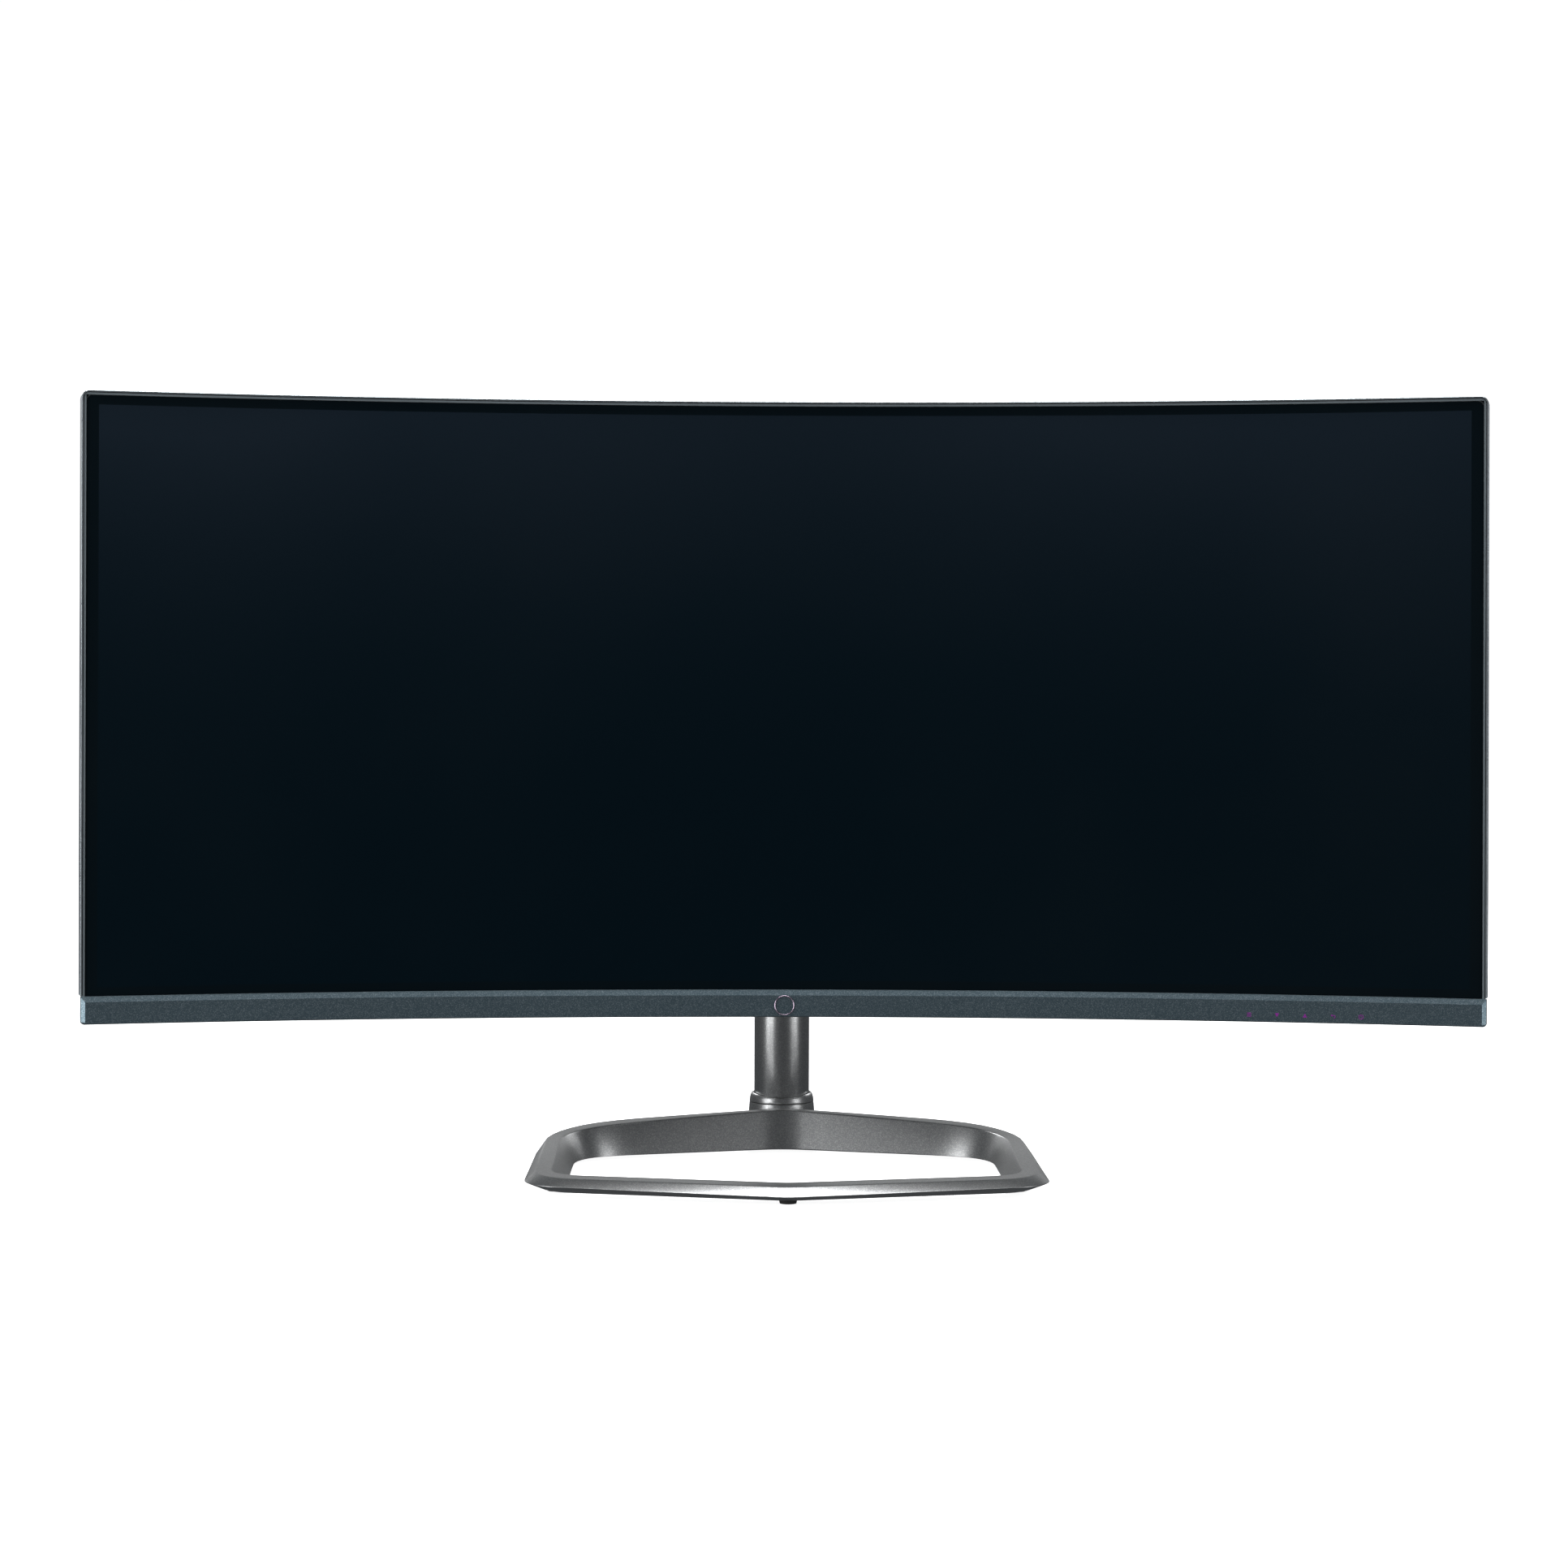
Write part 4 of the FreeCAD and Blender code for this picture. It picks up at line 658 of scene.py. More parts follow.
class GeometryTool:
    """A geometry node tree with named inputs that is applied to objects."""

    def __init__(self, name: str, numbers: Sequence[str], objects: Sequence[str] = ()) -> None:
        """Open the tree with its sockets.

        Args:
            name: the tree's name.
            numbers: names of its number inputs.
            objects: names of its object inputs.
        """
        self.tree = bpy.data.node_groups.new(name, "GeometryNodeTree")
        face = self.tree.interface
        face.new_socket(name="Geometry", in_out="INPUT", socket_type="NodeSocketGeometry")
        for label in numbers:
            face.new_socket(name=label, in_out="INPUT", socket_type="NodeSocketFloat")
        for label in objects:
            face.new_socket(name=label, in_out="INPUT", socket_type="NodeSocketObject")
        face.new_socket(name="Finish", in_out="INPUT", socket_type="NodeSocketMaterial")
        face.new_socket(name="Geometry", in_out="OUTPUT", socket_type="NodeSocketGeometry")
        self.bench = NodeBench(self.tree)
        self.source = self.bench.add("NodeGroupInput")
        self.target = self.bench.add("NodeGroupOutput")

    def close(self, geometry: bpy.types.NodeSocket) -> None:
        """End the tree in Realize Instances and Set Material.

        Args:
            geometry: the finished geometry's socket.
        """
        real = self.bench.add("GeometryNodeRealizeInstances")
        paint = self.bench.add("GeometryNodeSetMaterial")
        self.bench.wire(geometry, real.inputs[0])
        self.bench.wire(real.outputs[0], paint.inputs["Geometry"])
        self.bench.wire(self.source.outputs["Finish"], paint.inputs["Material"])
        self.bench.wire(paint.outputs[0], self.target.inputs[0])

    def apply(self, piece: bpy.types.Object, material: bpy.types.Material,
              **values: object) -> bpy.types.Object:
        """Run the tree on a piece and leave a plain mesh.

        Args:
            piece: the object to work on.
            material: the finish that the tree sets.
            values: the tree's inputs by name, with _ for a space.

        Returns:
            The same object with its new mesh.
        """
        modifier = piece.modifiers.new(self.tree.name, "NODES")
        modifier.node_group = self.tree
        given = {name.replace("_", " "): value for name, value in values.items()}
        given["Finish"] = material
        for socket in self.tree.interface.items_tree:
            if socket.in_out == "INPUT" and socket.name in given:
                modifier[socket.identifier] = given[socket.name]
        return freeze(piece)


def freeze(piece: bpy.types.Object) -> bpy.types.Object:
    """Turn a piece and its modifiers into one plain mesh.

    Args:
        piece: the object whose modifiers are applied.

    Returns:
        The same object without modifiers.
    """
    bpy.context.view_layer.update()
    graph = bpy.context.evaluated_depsgraph_get()
    mesh = bpy.data.meshes.new_from_object(piece.evaluated_get(graph))
    mesh.name = piece.name
    piece.modifiers.clear()
    piece.data = mesh
    return piece


class ScreenBend(GeometryTool):
    """Bends flat work to the screen's curve."""

    def __init__(self) -> None:
        """Build the tree that moves each point by its arc and depth."""
        super().__init__("bend_to_screen", ["Radius", "Setback"])
        bench = self.bench
        split = bench.add("ShaderNodeSeparateXYZ")
        bench.wire(bench.add("GeometryNodeInputPosition").outputs[0], split.inputs[0])
        radius = self.source.outputs["Radius"]
        setback = self.source.outputs["Setback"]
        angle = bench.sum_up("DIVIDE", split.outputs[0], radius)
        reach = bench.sum_up("ADD", radius, split.outputs[1])
        across = bench.sum_up("MULTIPLY", reach, bench.sum_up("SINE", angle))
        ahead = bench.sum_up("MULTIPLY", reach, bench.sum_up("COSINE", angle))
        back = bench.sum_up("SUBTRACT", bench.sum_up("SUBTRACT", ahead, radius), setback)
        join = bench.add("ShaderNodeCombineXYZ")
        for target, value in zip(join.inputs, (across, back, split.outputs[2])):
            bench.wire(value, target)
        move = bench.add("GeometryNodeSetPosition")
        bench.wire(self.source.outputs["Geometry"], move.inputs["Geometry"])
        bench.wire(join.outputs[0], move.inputs["Position"])
        self.close(move.outputs[0])


class PointSetter(GeometryTool):
    """Sets a copy of a pattern object on every point, such as screws on their bores."""

    def __init__(self) -> None:
        """Build the tree that places the pattern on the points."""
        super().__init__("pattern_on_points", ["Size"], ["Pattern"])
        bench = self.bench
        info = bench.add("GeometryNodeObjectInfo")
        bench.wire(self.source.outputs["Pattern"], info.inputs["Object"])
        put = bench.add("GeometryNodeInstanceOnPoints")
        bench.wire(self.source.outputs["Geometry"], put.inputs["Points"])
        bench.wire(info.outputs["Geometry"], put.inputs["Instance"])
        size = bench.add("ShaderNodeCombineXYZ")
        for target in size.inputs:
            bench.wire(self.source.outputs["Size"], target)
        bench.wire(size.outputs[0], put.inputs["Scale"])
        self.close(put.outputs[0])


class RowSetter(GeometryTool):
    """Repeats the input piece in a row, such as ribs and slats."""

    def __init__(self) -> None:
        """Build the tree with its count and pitch."""
        super().__init__("row_of_pieces", ["Count", "Pitch"])
        bench = self.bench
        line = bench.add("GeometryNodeMeshLine", mode="OFFSET")
        bench.wire(self.source.outputs["Count"], line.inputs["Count"])
        count = self.source.outputs["Count"]
        pitch = self.source.outputs["Pitch"]
        half = bench.sum_up("MULTIPLY", bench.sum_up("SUBTRACT", count, 1.0), -0.5)
        start = bench.add("ShaderNodeCombineXYZ")
        bench.wire(bench.sum_up("MULTIPLY", half, pitch), start.inputs[0])
        bench.wire(start.outputs[0], line.inputs["Start Location"])
        step = bench.add("ShaderNodeCombineXYZ")
        bench.wire(pitch, step.inputs[0])
        bench.wire(step.outputs[0], line.inputs["Offset"])
        put = bench.add("GeometryNodeInstanceOnPoints")
        bench.wire(line.outputs[0], put.inputs["Points"])
        bench.wire(self.source.outputs["Geometry"], put.inputs["Instance"])
        self.close(put.outputs[0])


class CrownSetter(GeometryTool):
    """Repeats the input piece round the Z axis, such as knurls on a screw head."""

    def __init__(self) -> None:
        """Build the tree with its count and radius."""
        super().__init__("crown_of_pieces", ["Count", "Reach"])
        bench = self.bench
        circle = bench.add("GeometryNodeMeshCircle")
        bench.wire(self.source.outputs["Count"], circle.inputs["Vertices"])
        bench.wire(self.source.outputs["Reach"], circle.inputs["Radius"])
        put = bench.add("GeometryNodeInstanceOnPoints")
        bench.wire(circle.outputs[0], put.inputs["Points"])
        bench.wire(self.source.outputs["Geometry"], put.inputs["Instance"])
        turn = bench.add("FunctionNodeAlignRotationToVector", axis="X")
        bench.wire(bench.add("GeometryNodeInputPosition").outputs[0], turn.inputs["Vector"])
        bench.wire(turn.outputs[0], put.inputs["Rotation"])
        self.close(put.outputs[0])


# ---- mesh work ----------------------------------------------------------------------------


def new_piece(name: str, work: bmesh.types.BMesh) -> bpy.types.Object:
    """Make an object at the origin from mesh work.

    Args:
        name: the piece's name.
        work: the mesh work, which is freed.

    Returns:
        The new object.
    """
    mesh = bpy.data.meshes.new(name)
    bmesh.ops.recalc_face_normals(work, faces=work.faces)
    work.to_mesh(mesh)
    work.free()
    piece = bpy.data.objects.new(name, mesh)
    bpy.context.scene.collection.objects.link(piece)
    return piece


def smooth_by_angle(piece: bpy.types.Object, degrees: float = SHARP_DEGREES) -> bpy.types.Object:
    """Shade a piece smooth and keep its corners sharp.

    Args:
        piece: the piece.
        degrees: the angle above which a corner stays sharp.

    Returns:
        The same piece.
    """
    piece.data.shade_smooth()
    piece.data.set_sharp_from_angle(angle=math.radians(degrees))
    return piece


def soften(piece: bpy.types.Object, width: float, segments: int = 2) -> bpy.types.Object:
    """Round a piece's corners with a bevel and apply it.

    Args:
        piece: the piece.
        width: the bevel's width.
        segments: the bevel's steps.

    Returns:
        The same piece, with the bevel applied.
    """
    bevel = piece.modifiers.new("soft_corners", "BEVEL")
    bevel.width = width
    bevel.segments = segments
    bevel.limit_method = "ANGLE"
    bevel.angle_limit = math.radians(SHARP_DEGREES)
    bevel.use_clamp_overlap = True
    return freeze(piece)


def dress(piece: bpy.types.Object, material: bpy.types.Material) -> bpy.types.Object:
    """Give a piece one finish.

    Args:
        piece: the piece.
        material: its finish.

    Returns:
        The same piece.
    """
    piece.data.materials.clear()
    piece.data.materials.append(material)
    return piece


def mount(piece: bpy.types.Object, body: str, nodes: Iterable[str] = ()) -> None:
    """Fix a finished piece to its body and log it.

    Args:
        piece: the finished piece.
        body: the CAD body it rides on.
        nodes: the CAD nodes it stands for.
    """
    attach(piece, body)
    if nodes:
        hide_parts(*nodes)
    LOG.info("%s rides on %s with %d faces", piece.name, body, len(piece.data.polygons))


def add_prism(work: bmesh.types.BMesh, outline: Sequence[tuple[float, float]],
              near: float, far: float) -> None:
    """Add a closed prism whose outline lies in (x, z) and which runs along y.

    Args:
        work: the mesh work to add to.
        outline: its corners in order.
        near: the lower y.
        far: the higher y.
    """
    front = [work.verts.new((across, near, up)) for across, up in outline]
    back = [work.verts.new((across, far, up)) for across, up in outline]
    work.faces.new(front)
    work.faces.new(list(reversed(back)))
    for index in range(len(outline)):
        follow = (index + 1) % len(outline)
        work.faces.new((front[index], back[index], back[follow], front[follow]))


def add_box(work: bmesh.types.BMesh, low: Point, high: Point) -> None:
    """Add a box between two corners."""
    add_prism(work, [(low[0], low[2]), (high[0], low[2]), (high[0], high[2]),
                     (low[0], high[2])], low[1], high[1])


def slice_along_x(work: bmesh.types.BMesh, half: float, count: int) -> None:
    """Cut mesh work into strips along x so that it can bend.

    Args:
        work: the mesh work to cut.
        half: half its width.
        count: how many strips it gets.
    """
    for index in range(1, count):
        across = -half + 2.0 * half * index / count
        everything = work.verts[:] + work.edges[:] + work.faces[:]
        bmesh.ops.bisect_plane(work, geom=everything, plane_co=(across, 0.0, 0.0),
                               plane_no=(1.0, 0.0, 0.0), dist=CUT_GAP)


def lathe(name: str, profile: Sequence[tuple[float, float]], segments: int = 96) -> \
        bpy.types.Object:
    """Turn a closed profile of (radius, height) points about the Z axis.

    Args:
        name: the piece's name.
        profile: the profile's points in order.
        segments: how many steps go round.

    Returns:
        The turned piece.
    """
    work = bmesh.new()
    rings = []
    for step in range(segments):
        angle = 2.0 * math.pi * step / segments
        rings.append([work.verts.new((reach * math.cos(angle), reach * math.sin(angle), up))
                      for reach, up in profile])
    for step in range(segments):
        near = rings[step]
        far = rings[(step + 1) % segments]
        for index in range(len(profile)):
            follow = (index + 1) % len(profile)
            work.faces.new((near[index], far[index], far[follow], near[follow]))
    bmesh.ops.remove_doubles(work, verts=work.verts, dist=CUT_GAP)
    return new_piece(name, work)


def merged_copy(node: str, name: str) -> bpy.types.Object:
    """Copy a CAD node's mesh as a merged, clean piece.

    Args:
        node: the CAD node.
        name: the new piece's name.

    Returns:
        The new piece.
    """
    work = bmesh.new()
    work.from_mesh(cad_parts[node].data)
    bmesh.ops.remove_doubles(work, verts=work.verts, dist=MERGE_GAP)
    bmesh.ops.dissolve_limit(work, angle_limit=math.radians(0.4), verts=work.verts,
                             edges=work.edges)
    return new_piece(name, work)


def island_boxes(node: str) -> list[tuple[Vector, Vector]]:
    """Give the lowest and highest corner of each separate solid of a CAD node.

    Args:
        node: the CAD node.

    Returns:
        The pairs of corners, sorted by their lowest corner.
    """
    work = bmesh.new()
    work.from_mesh(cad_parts[node].data)
    bmesh.ops.remove_doubles(work, verts=work.verts, dist=MERGE_GAP)
    left = set(work.verts)
    boxes = []
    while left:
        reach = [left.pop()]
        found = []
        while reach:
            vertex = reach.pop()
            found.append(vertex.co.copy())
            for edge in vertex.link_edges:
                other = edge.other_vert(vertex)
                if other in left:
                    left.remove(other)
                    reach.append(other)
        low = Vector(min(point[axis] for point in found) for axis in range(3))
        high = Vector(max(point[axis] for point in found) for axis in range(3))
        boxes.append((low, high))
    work.free()
    return sorted(boxes, key=lambda pair: tuple(pair[0]))


def refined(node: str, body: str, material: bpy.types.Material,
            corner: float = 0.3 * MM) -> bpy.types.Object:
    """Stand a cleaned copy with softened corners in for a CAD node.

    Args:
        node: the CAD node.
        body: the body it rides on.
        material: its finish.
        corner: the corner rounding, or 0 for none.

    Returns:
        The new piece.
    """
    piece = merged_copy(node, f"{node}_finished")
    if corner > 0.0:
        soften(piece, corner)
    smooth_by_angle(piece)
    dress(piece, material)
    mount(piece, body, [node])
    return piece


# ---- the screen and its surround ----------------------------------------------------------


@dataclass
class Screen:
    """The glass front, the rim, the gasket round the glass and the chin."""

    curve: Curve
    bend: ScreenBend
    finishes: Finishes
    rim_wall: float = 1.0 * MM
    rim_edge: float = 0.18 * MM
    gasket_gap: float = 0.75 * MM
    gasket_wall: float = 0.5 * MM
    chin_bevel: float = 3.2 * MM
    chin_side: float = 2.7 * MM
    chin_edge: float = 0.8 * MM
    chin_corner: float = 2.4 * MM
    chin_lip: float = -0.1 * MM
    chin_lip_depth: float = 0.4 * MM
    chin_inner_corner: float = 0.8 * MM
    chin_face_corner: float = 0.9 * MM
    chin_side_set: float = 0.35 * MM
    chin_low_set: float = 0.2 * MM
    chin_high_set: float = 0.55 * MM
    chin_set_depth: float = 1.35 * MM
    shelf_wall: float = 1.6 * MM
    shelf_reach: float = 12.0 * MM
    button_hole_half: float = 4.75 * MM
    button_hole_start: float = 7.75 * MM
    chin_wall: float = 1.6 * MM
    chin_top: float = 1.2 * MM
    corner: float = 4.5 * MM
    strips: int = 96

    def bent(self, piece: bpy.types.Object, use: str,
             degrees: float = SHARP_DEGREES) -> bpy.types.Object:
        """Bend a flat piece to the screen's curve and shade it.

        Args:
            piece: the flat piece.
            use: the name of its finish.
            degrees: corners sharper than this stay sharp.

        Returns:
            The bent piece.
        """
        self.bend.apply(piece, self.finishes[use], Radius=self.curve.radius,
                        Setback=self.curve.setback)
        return smooth_by_angle(piece, degrees)

    def reach(self, node: str) -> tuple[float, float, float, float, float]:
        """Measure a CAD node on the curve.

        Args:
            node: a node that is even about the middle.

        Returns:
            Its half arc, its front and back depth, and its low and high z.
        """
        low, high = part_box(node)
        points = [vertex.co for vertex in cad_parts[node].data.vertices]
        half = max(self.curve.arc_of(point) for point in points)
        depths = [self.curve.depth_of(point) for point in points]
        return half, min(depths), max(depths), low.z, high.z

    def rim_path(self, half: float, low: float, high: float,
                 radius: float) -> list[tuple[float, float]]:
        """Give an arch of (x, z) points up the left side, across and down the right.

        Args:
            half: half its width.
            low: the height of its feet.
            high: the height of its top.
            radius: the radius of its upper corners.

        Returns:
            The arch's points.
        """
        steps = 8
        points = [(-half, low)]
        for sign, start in ((-1.0, 180.0), (1.0, 90.0)):
            for step in range(steps + 1):
                angle = math.radians(start - 90.0 * step / steps)
                points.append((sign * (half - radius) + radius * math.cos(angle),
                               high - radius + radius * math.sin(angle)))
        points.append((half, low))
        return points

    def arch(self, name: str, half: float, low: float, high: float, wall: float,
             front: float, back: float, edge: float) -> bpy.types.Object:
        """Make a flat arch-shaped strip with softened front corners.

        Args:
            name: the piece's name.
            half: half its outer width.
            low: its lowest z.
            high: its highest z.
            wall: its thickness.
            front: its front depth.
            back: its back depth.
            edge: the size of the softened front corners.

        Returns:
            The flat piece.
        """
        work = bmesh.new()
        outer = self.rim_path(half, low, high, self.corner)
        inner = self.rim_path(half - wall, low, high - wall, self.corner - wall)
        middle = self.rim_path(half - edge, low, high - edge, self.corner - edge)
        inside = self.rim_path(half - wall + edge, low, high - wall + edge,
                               self.corner - wall + edge)
        layers = [(outer, back), (outer, front + edge), (middle, front), (inside, front),
                  (inner, front + edge), (inner, back)]
        rings = [[work.verts.new((across, depth, up)) for across, up in path]
                 for path, depth in layers]
        for near, far in zip(rings, rings[1:] + rings[:1]):
            for index in range(len(near) - 1):
                work.faces.new((near[index], far[index], far[index + 1], near[index + 1]))
        for end in (0, -1):
            work.faces.new([ring[end] for ring in rings])
        slice_along_x(work, half, self.strips)
        return new_piece(name, work)

    def build_glass(self) -> None:
        """Build the anti-glare front."""
        half, front, back, low, high = self.reach("lcd_cell")
        work = bmesh.new()
        add_box(work, (-half, front, low), (half, back, high))
        slice_along_x(work, half, self.strips)
        glass = self.bent(new_piece("screen_front", work), "glass")
        mount(glass, "display", ["lcd_cell"])

    def build_rim(self) -> None:
        """Build the metal rim and the plastic frame strip inside it."""
        half, front, back, low, high = self.reach("outer_trim")
        rim = self.arch("metal_rim", half, low, high, self.rim_wall, front, back,
                        self.rim_edge)
        mount(self.bent(rim, "rim"), "display", ["outer_trim"])
        half, front, _, low, high = self.reach("lcd_cell")
        gap = self.gasket_gap
        gasket = self.arch("glass_gasket", half + gap, low + 6.0 * MM, high + gap,
                           self.gasket_wall, front - 0.2 * MM, front + 1.2 * MM, 0.08 * MM)
        mount(self.bent(gasket, "gasket"), "display")

    def chin_path(self, half: float, low: float, high: float,
                  radius: float) -> list[tuple[float, float]]:
        """Give a closed outline of (x, z) points with two rounded lower corners.

        Args:
            half: half its width.
            low: the height of its lower edge.
            high: the height of its upper edge.
            radius: the radius of its lower corners.

        Returns:
            The outline's points.
        """
        steps = 6
        points = []
        for sign, start in ((-1.0, 180.0), (1.0, 270.0)):
            for step in range(steps + 1):
                angle = math.radians(start + 90.0 * step / steps)
                points.append((sign * (half - radius) + radius * math.cos(angle),
                               low + radius + radius * math.sin(angle)))
        points.extend([(half, high), (-half, high)])
        return points

    def build_chin(self) -> None:
        """Build the chin: a mitred bevel round a flat face, with rounded lower corners."""
        half, front, _, low, high = self.reach("chin_bezel")
        lip, inner = self.chin_lip, self.chin_inner_corner
        side, edge, bevel = self.chin_side, self.chin_edge, self.chin_bevel
        wall, top = self.chin_wall, self.chin_top
        layers = [
            (self.chin_path(half - wall, low + wall, high - wall, inner), front + wall),
            (self.chin_path(half - wall, low + wall, high - top, inner), lip),
            (self.chin_path(half, low, high, self.chin_corner), lip),
            (self.chin_path(half, low, high, self.chin_corner), lip - self.chin_lip_depth),
            (self.chin_path(half - self.chin_side_set, low + self.chin_low_set,
                            high - self.chin_high_set, self.chin_corner),
             front + self.chin_set_depth),
            (self.chin_path(half - side, low + edge, high - bevel, self.chin_face_corner),
             front),
        ]
        work = bmesh.new()
        rings = [[work.verts.new((across, depth, up)) for across, up in path]
                 for path, depth in layers]
        for near, far in zip(rings, rings[1:]):
            for index in range(len(near)):
                follow = (index + 1) % len(near)
                work.faces.new((near[index], near[follow], far[follow], far[index]))
        work.faces.new(rings[-1])
        work.faces.new(list(reversed(rings[0])))
        slice_along_x(work, half, self.strips)
        chin = self.bent(new_piece("chin_face", work), "chin", 20.0)
        mount(chin, "display", ["chin_bezel"])
        self.build_shelf(half - self.chin_corner, low)

    def build_shelf(self, half: float, low: float) -> None:
        """Build the chin's underside shelf with the button holes cut through it.

        Args:
            half: half its width.
            low: the height of its underside.
        """
        work = bmesh.new()
        boxes = [box for name in BUTTONS.values() for box in island_boxes(name)]
        spans = sorted((self.curve.arc_of(low_corner.lerp(high_corner, 0.5)))
                       for low_corner, high_corner in boxes)
        hole, near = self.button_hole_half, self.button_hole_start
        top = low + self.shelf_wall
        edges = [-half] + [arc + sign * hole for arc in spans for sign in (-1.0, 1.0)] + [half]
        add_box(work, (-half, 0.0, low), (half, near, top))
        for left, right in zip(edges[0::2], edges[1::2]):
            add_box(work, (left, near, low), (right, self.shelf_reach, top))
        slice_along_x(work, half, self.strips)
        shelf = self.bent(new_piece("chin_shelf", work), "chin")
        mount(shelf, "display")

    def build(self) -> None:
        """Build every piece of the screen."""
        self.build_glass()
        self.build_rim()
        self.build_chin()


BUTTONS = {Mark.MENU: "menu_button", Mark.DOWN: "down_button", Mark.UP: "up_button",
           Mark.BACK: "back_button", Mark.POWER: "power_button"}


@dataclass
class Signs:
    """The printed signs above the buttons and the ring emblem on the chin."""

    screen: Screen
    size: float = 2.5 * MM
    lift: float = 4.5 * MM
    skin: float = 0.06 * MM

    def outlines(self, mark: Mark) -> list[list[tuple[float, float]]]:
        """Give a sign's outlines in units of its size, centred on the origin.

        Args:
            mark: the sign.

        Returns:
            Its closed outlines.
        """
        if mark is Mark.MENU:
            return [self.bar(-0.5, 0.5, level - 0.09, level + 0.09)
                    for level in (-0.36, 0.0, 0.36)]
        if mark is Mark.DOWN:
            return [[(-0.52, 0.45), (0.52, 0.45), (0.0, -0.5)]]
        if mark is Mark.UP:
            return [[(-0.52, -0.45), (0.52, -0.45), (0.0, 0.5)]]
        if mark is Mark.BACK:
            head = [(-0.55, 0.16), (-0.12, -0.2), (-0.12, 0.52)]
            return [head, self.bar(-0.13, 0.2, 0.08, 0.25)] + self.ring_arc(0.2, -0.13, 0.3,
                                                                          -90.0, 90.0)
        gap = 32.0
        return [self.bar(-0.08, 0.08, 0.0, 0.62)] + self.ring_arc(0.0, -0.02, 0.5,
                                                                  90.0 + gap, 450.0 - gap)

    @staticmethod
    def bar(left: float, right: float, low: float, high: float) -> list[tuple[float, float]]:
        """Give a straight bar's outline."""
        return [(left, low), (right, low), (right, high), (left, high)]

    @staticmethod
    def ring_arc(across: float, up: float, radius: float, start: float,
                 end: float) -> list[list[tuple[float, float]]]:
        """Give a bowed line as short four-sided outlines.

        Args:
            across: the sideways place of its centre.
            up: the height of its centre.
            radius: the radius of its middle line.
            start: its first angle in degrees.
            end: its last angle in degrees.

        Returns:
            Its closed outlines.
        """
        steps = 14
        half = 0.085
        pieces = []
        for step in range(steps):
            corners = []
            for share, reach in ((step, radius - half), (step + 1, radius - half),
                                 (step + 1, radius + half), (step, radius + half)):
                angle = math.radians(start + (end - start) * share / steps)
                corners.append((across + reach * math.cos(angle),
                                up + reach * math.sin(angle)))
            pieces.append(corners)
        return pieces

    def build(self) -> None:
        """Print each sign over its button and set the emblem ring."""
        screen = self.screen
        _, front, _, low, _ = screen.reach("chin_bezel")
        work = bmesh.new()
        for mark, node in BUTTONS.items():
            low_corner, high_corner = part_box(node)
            arc = screen.curve.arc_of(low_corner.lerp(high_corner, 0.5))
            for outline in self.outlines(mark):
                placed = [(arc + across * self.size, low + self.lift + up * self.size)
                          for across, up in outline]
                add_prism(work, placed, front - self.skin, front + 0.05 * MM)
        signs = screen.bent(new_piece("button_signs", work), "ink")
        mount(signs, "display")
        refined("badge_ring", "display", screen.finishes["badge"], 0.0)


# ---- the back -----------------------------------------------------------------------------


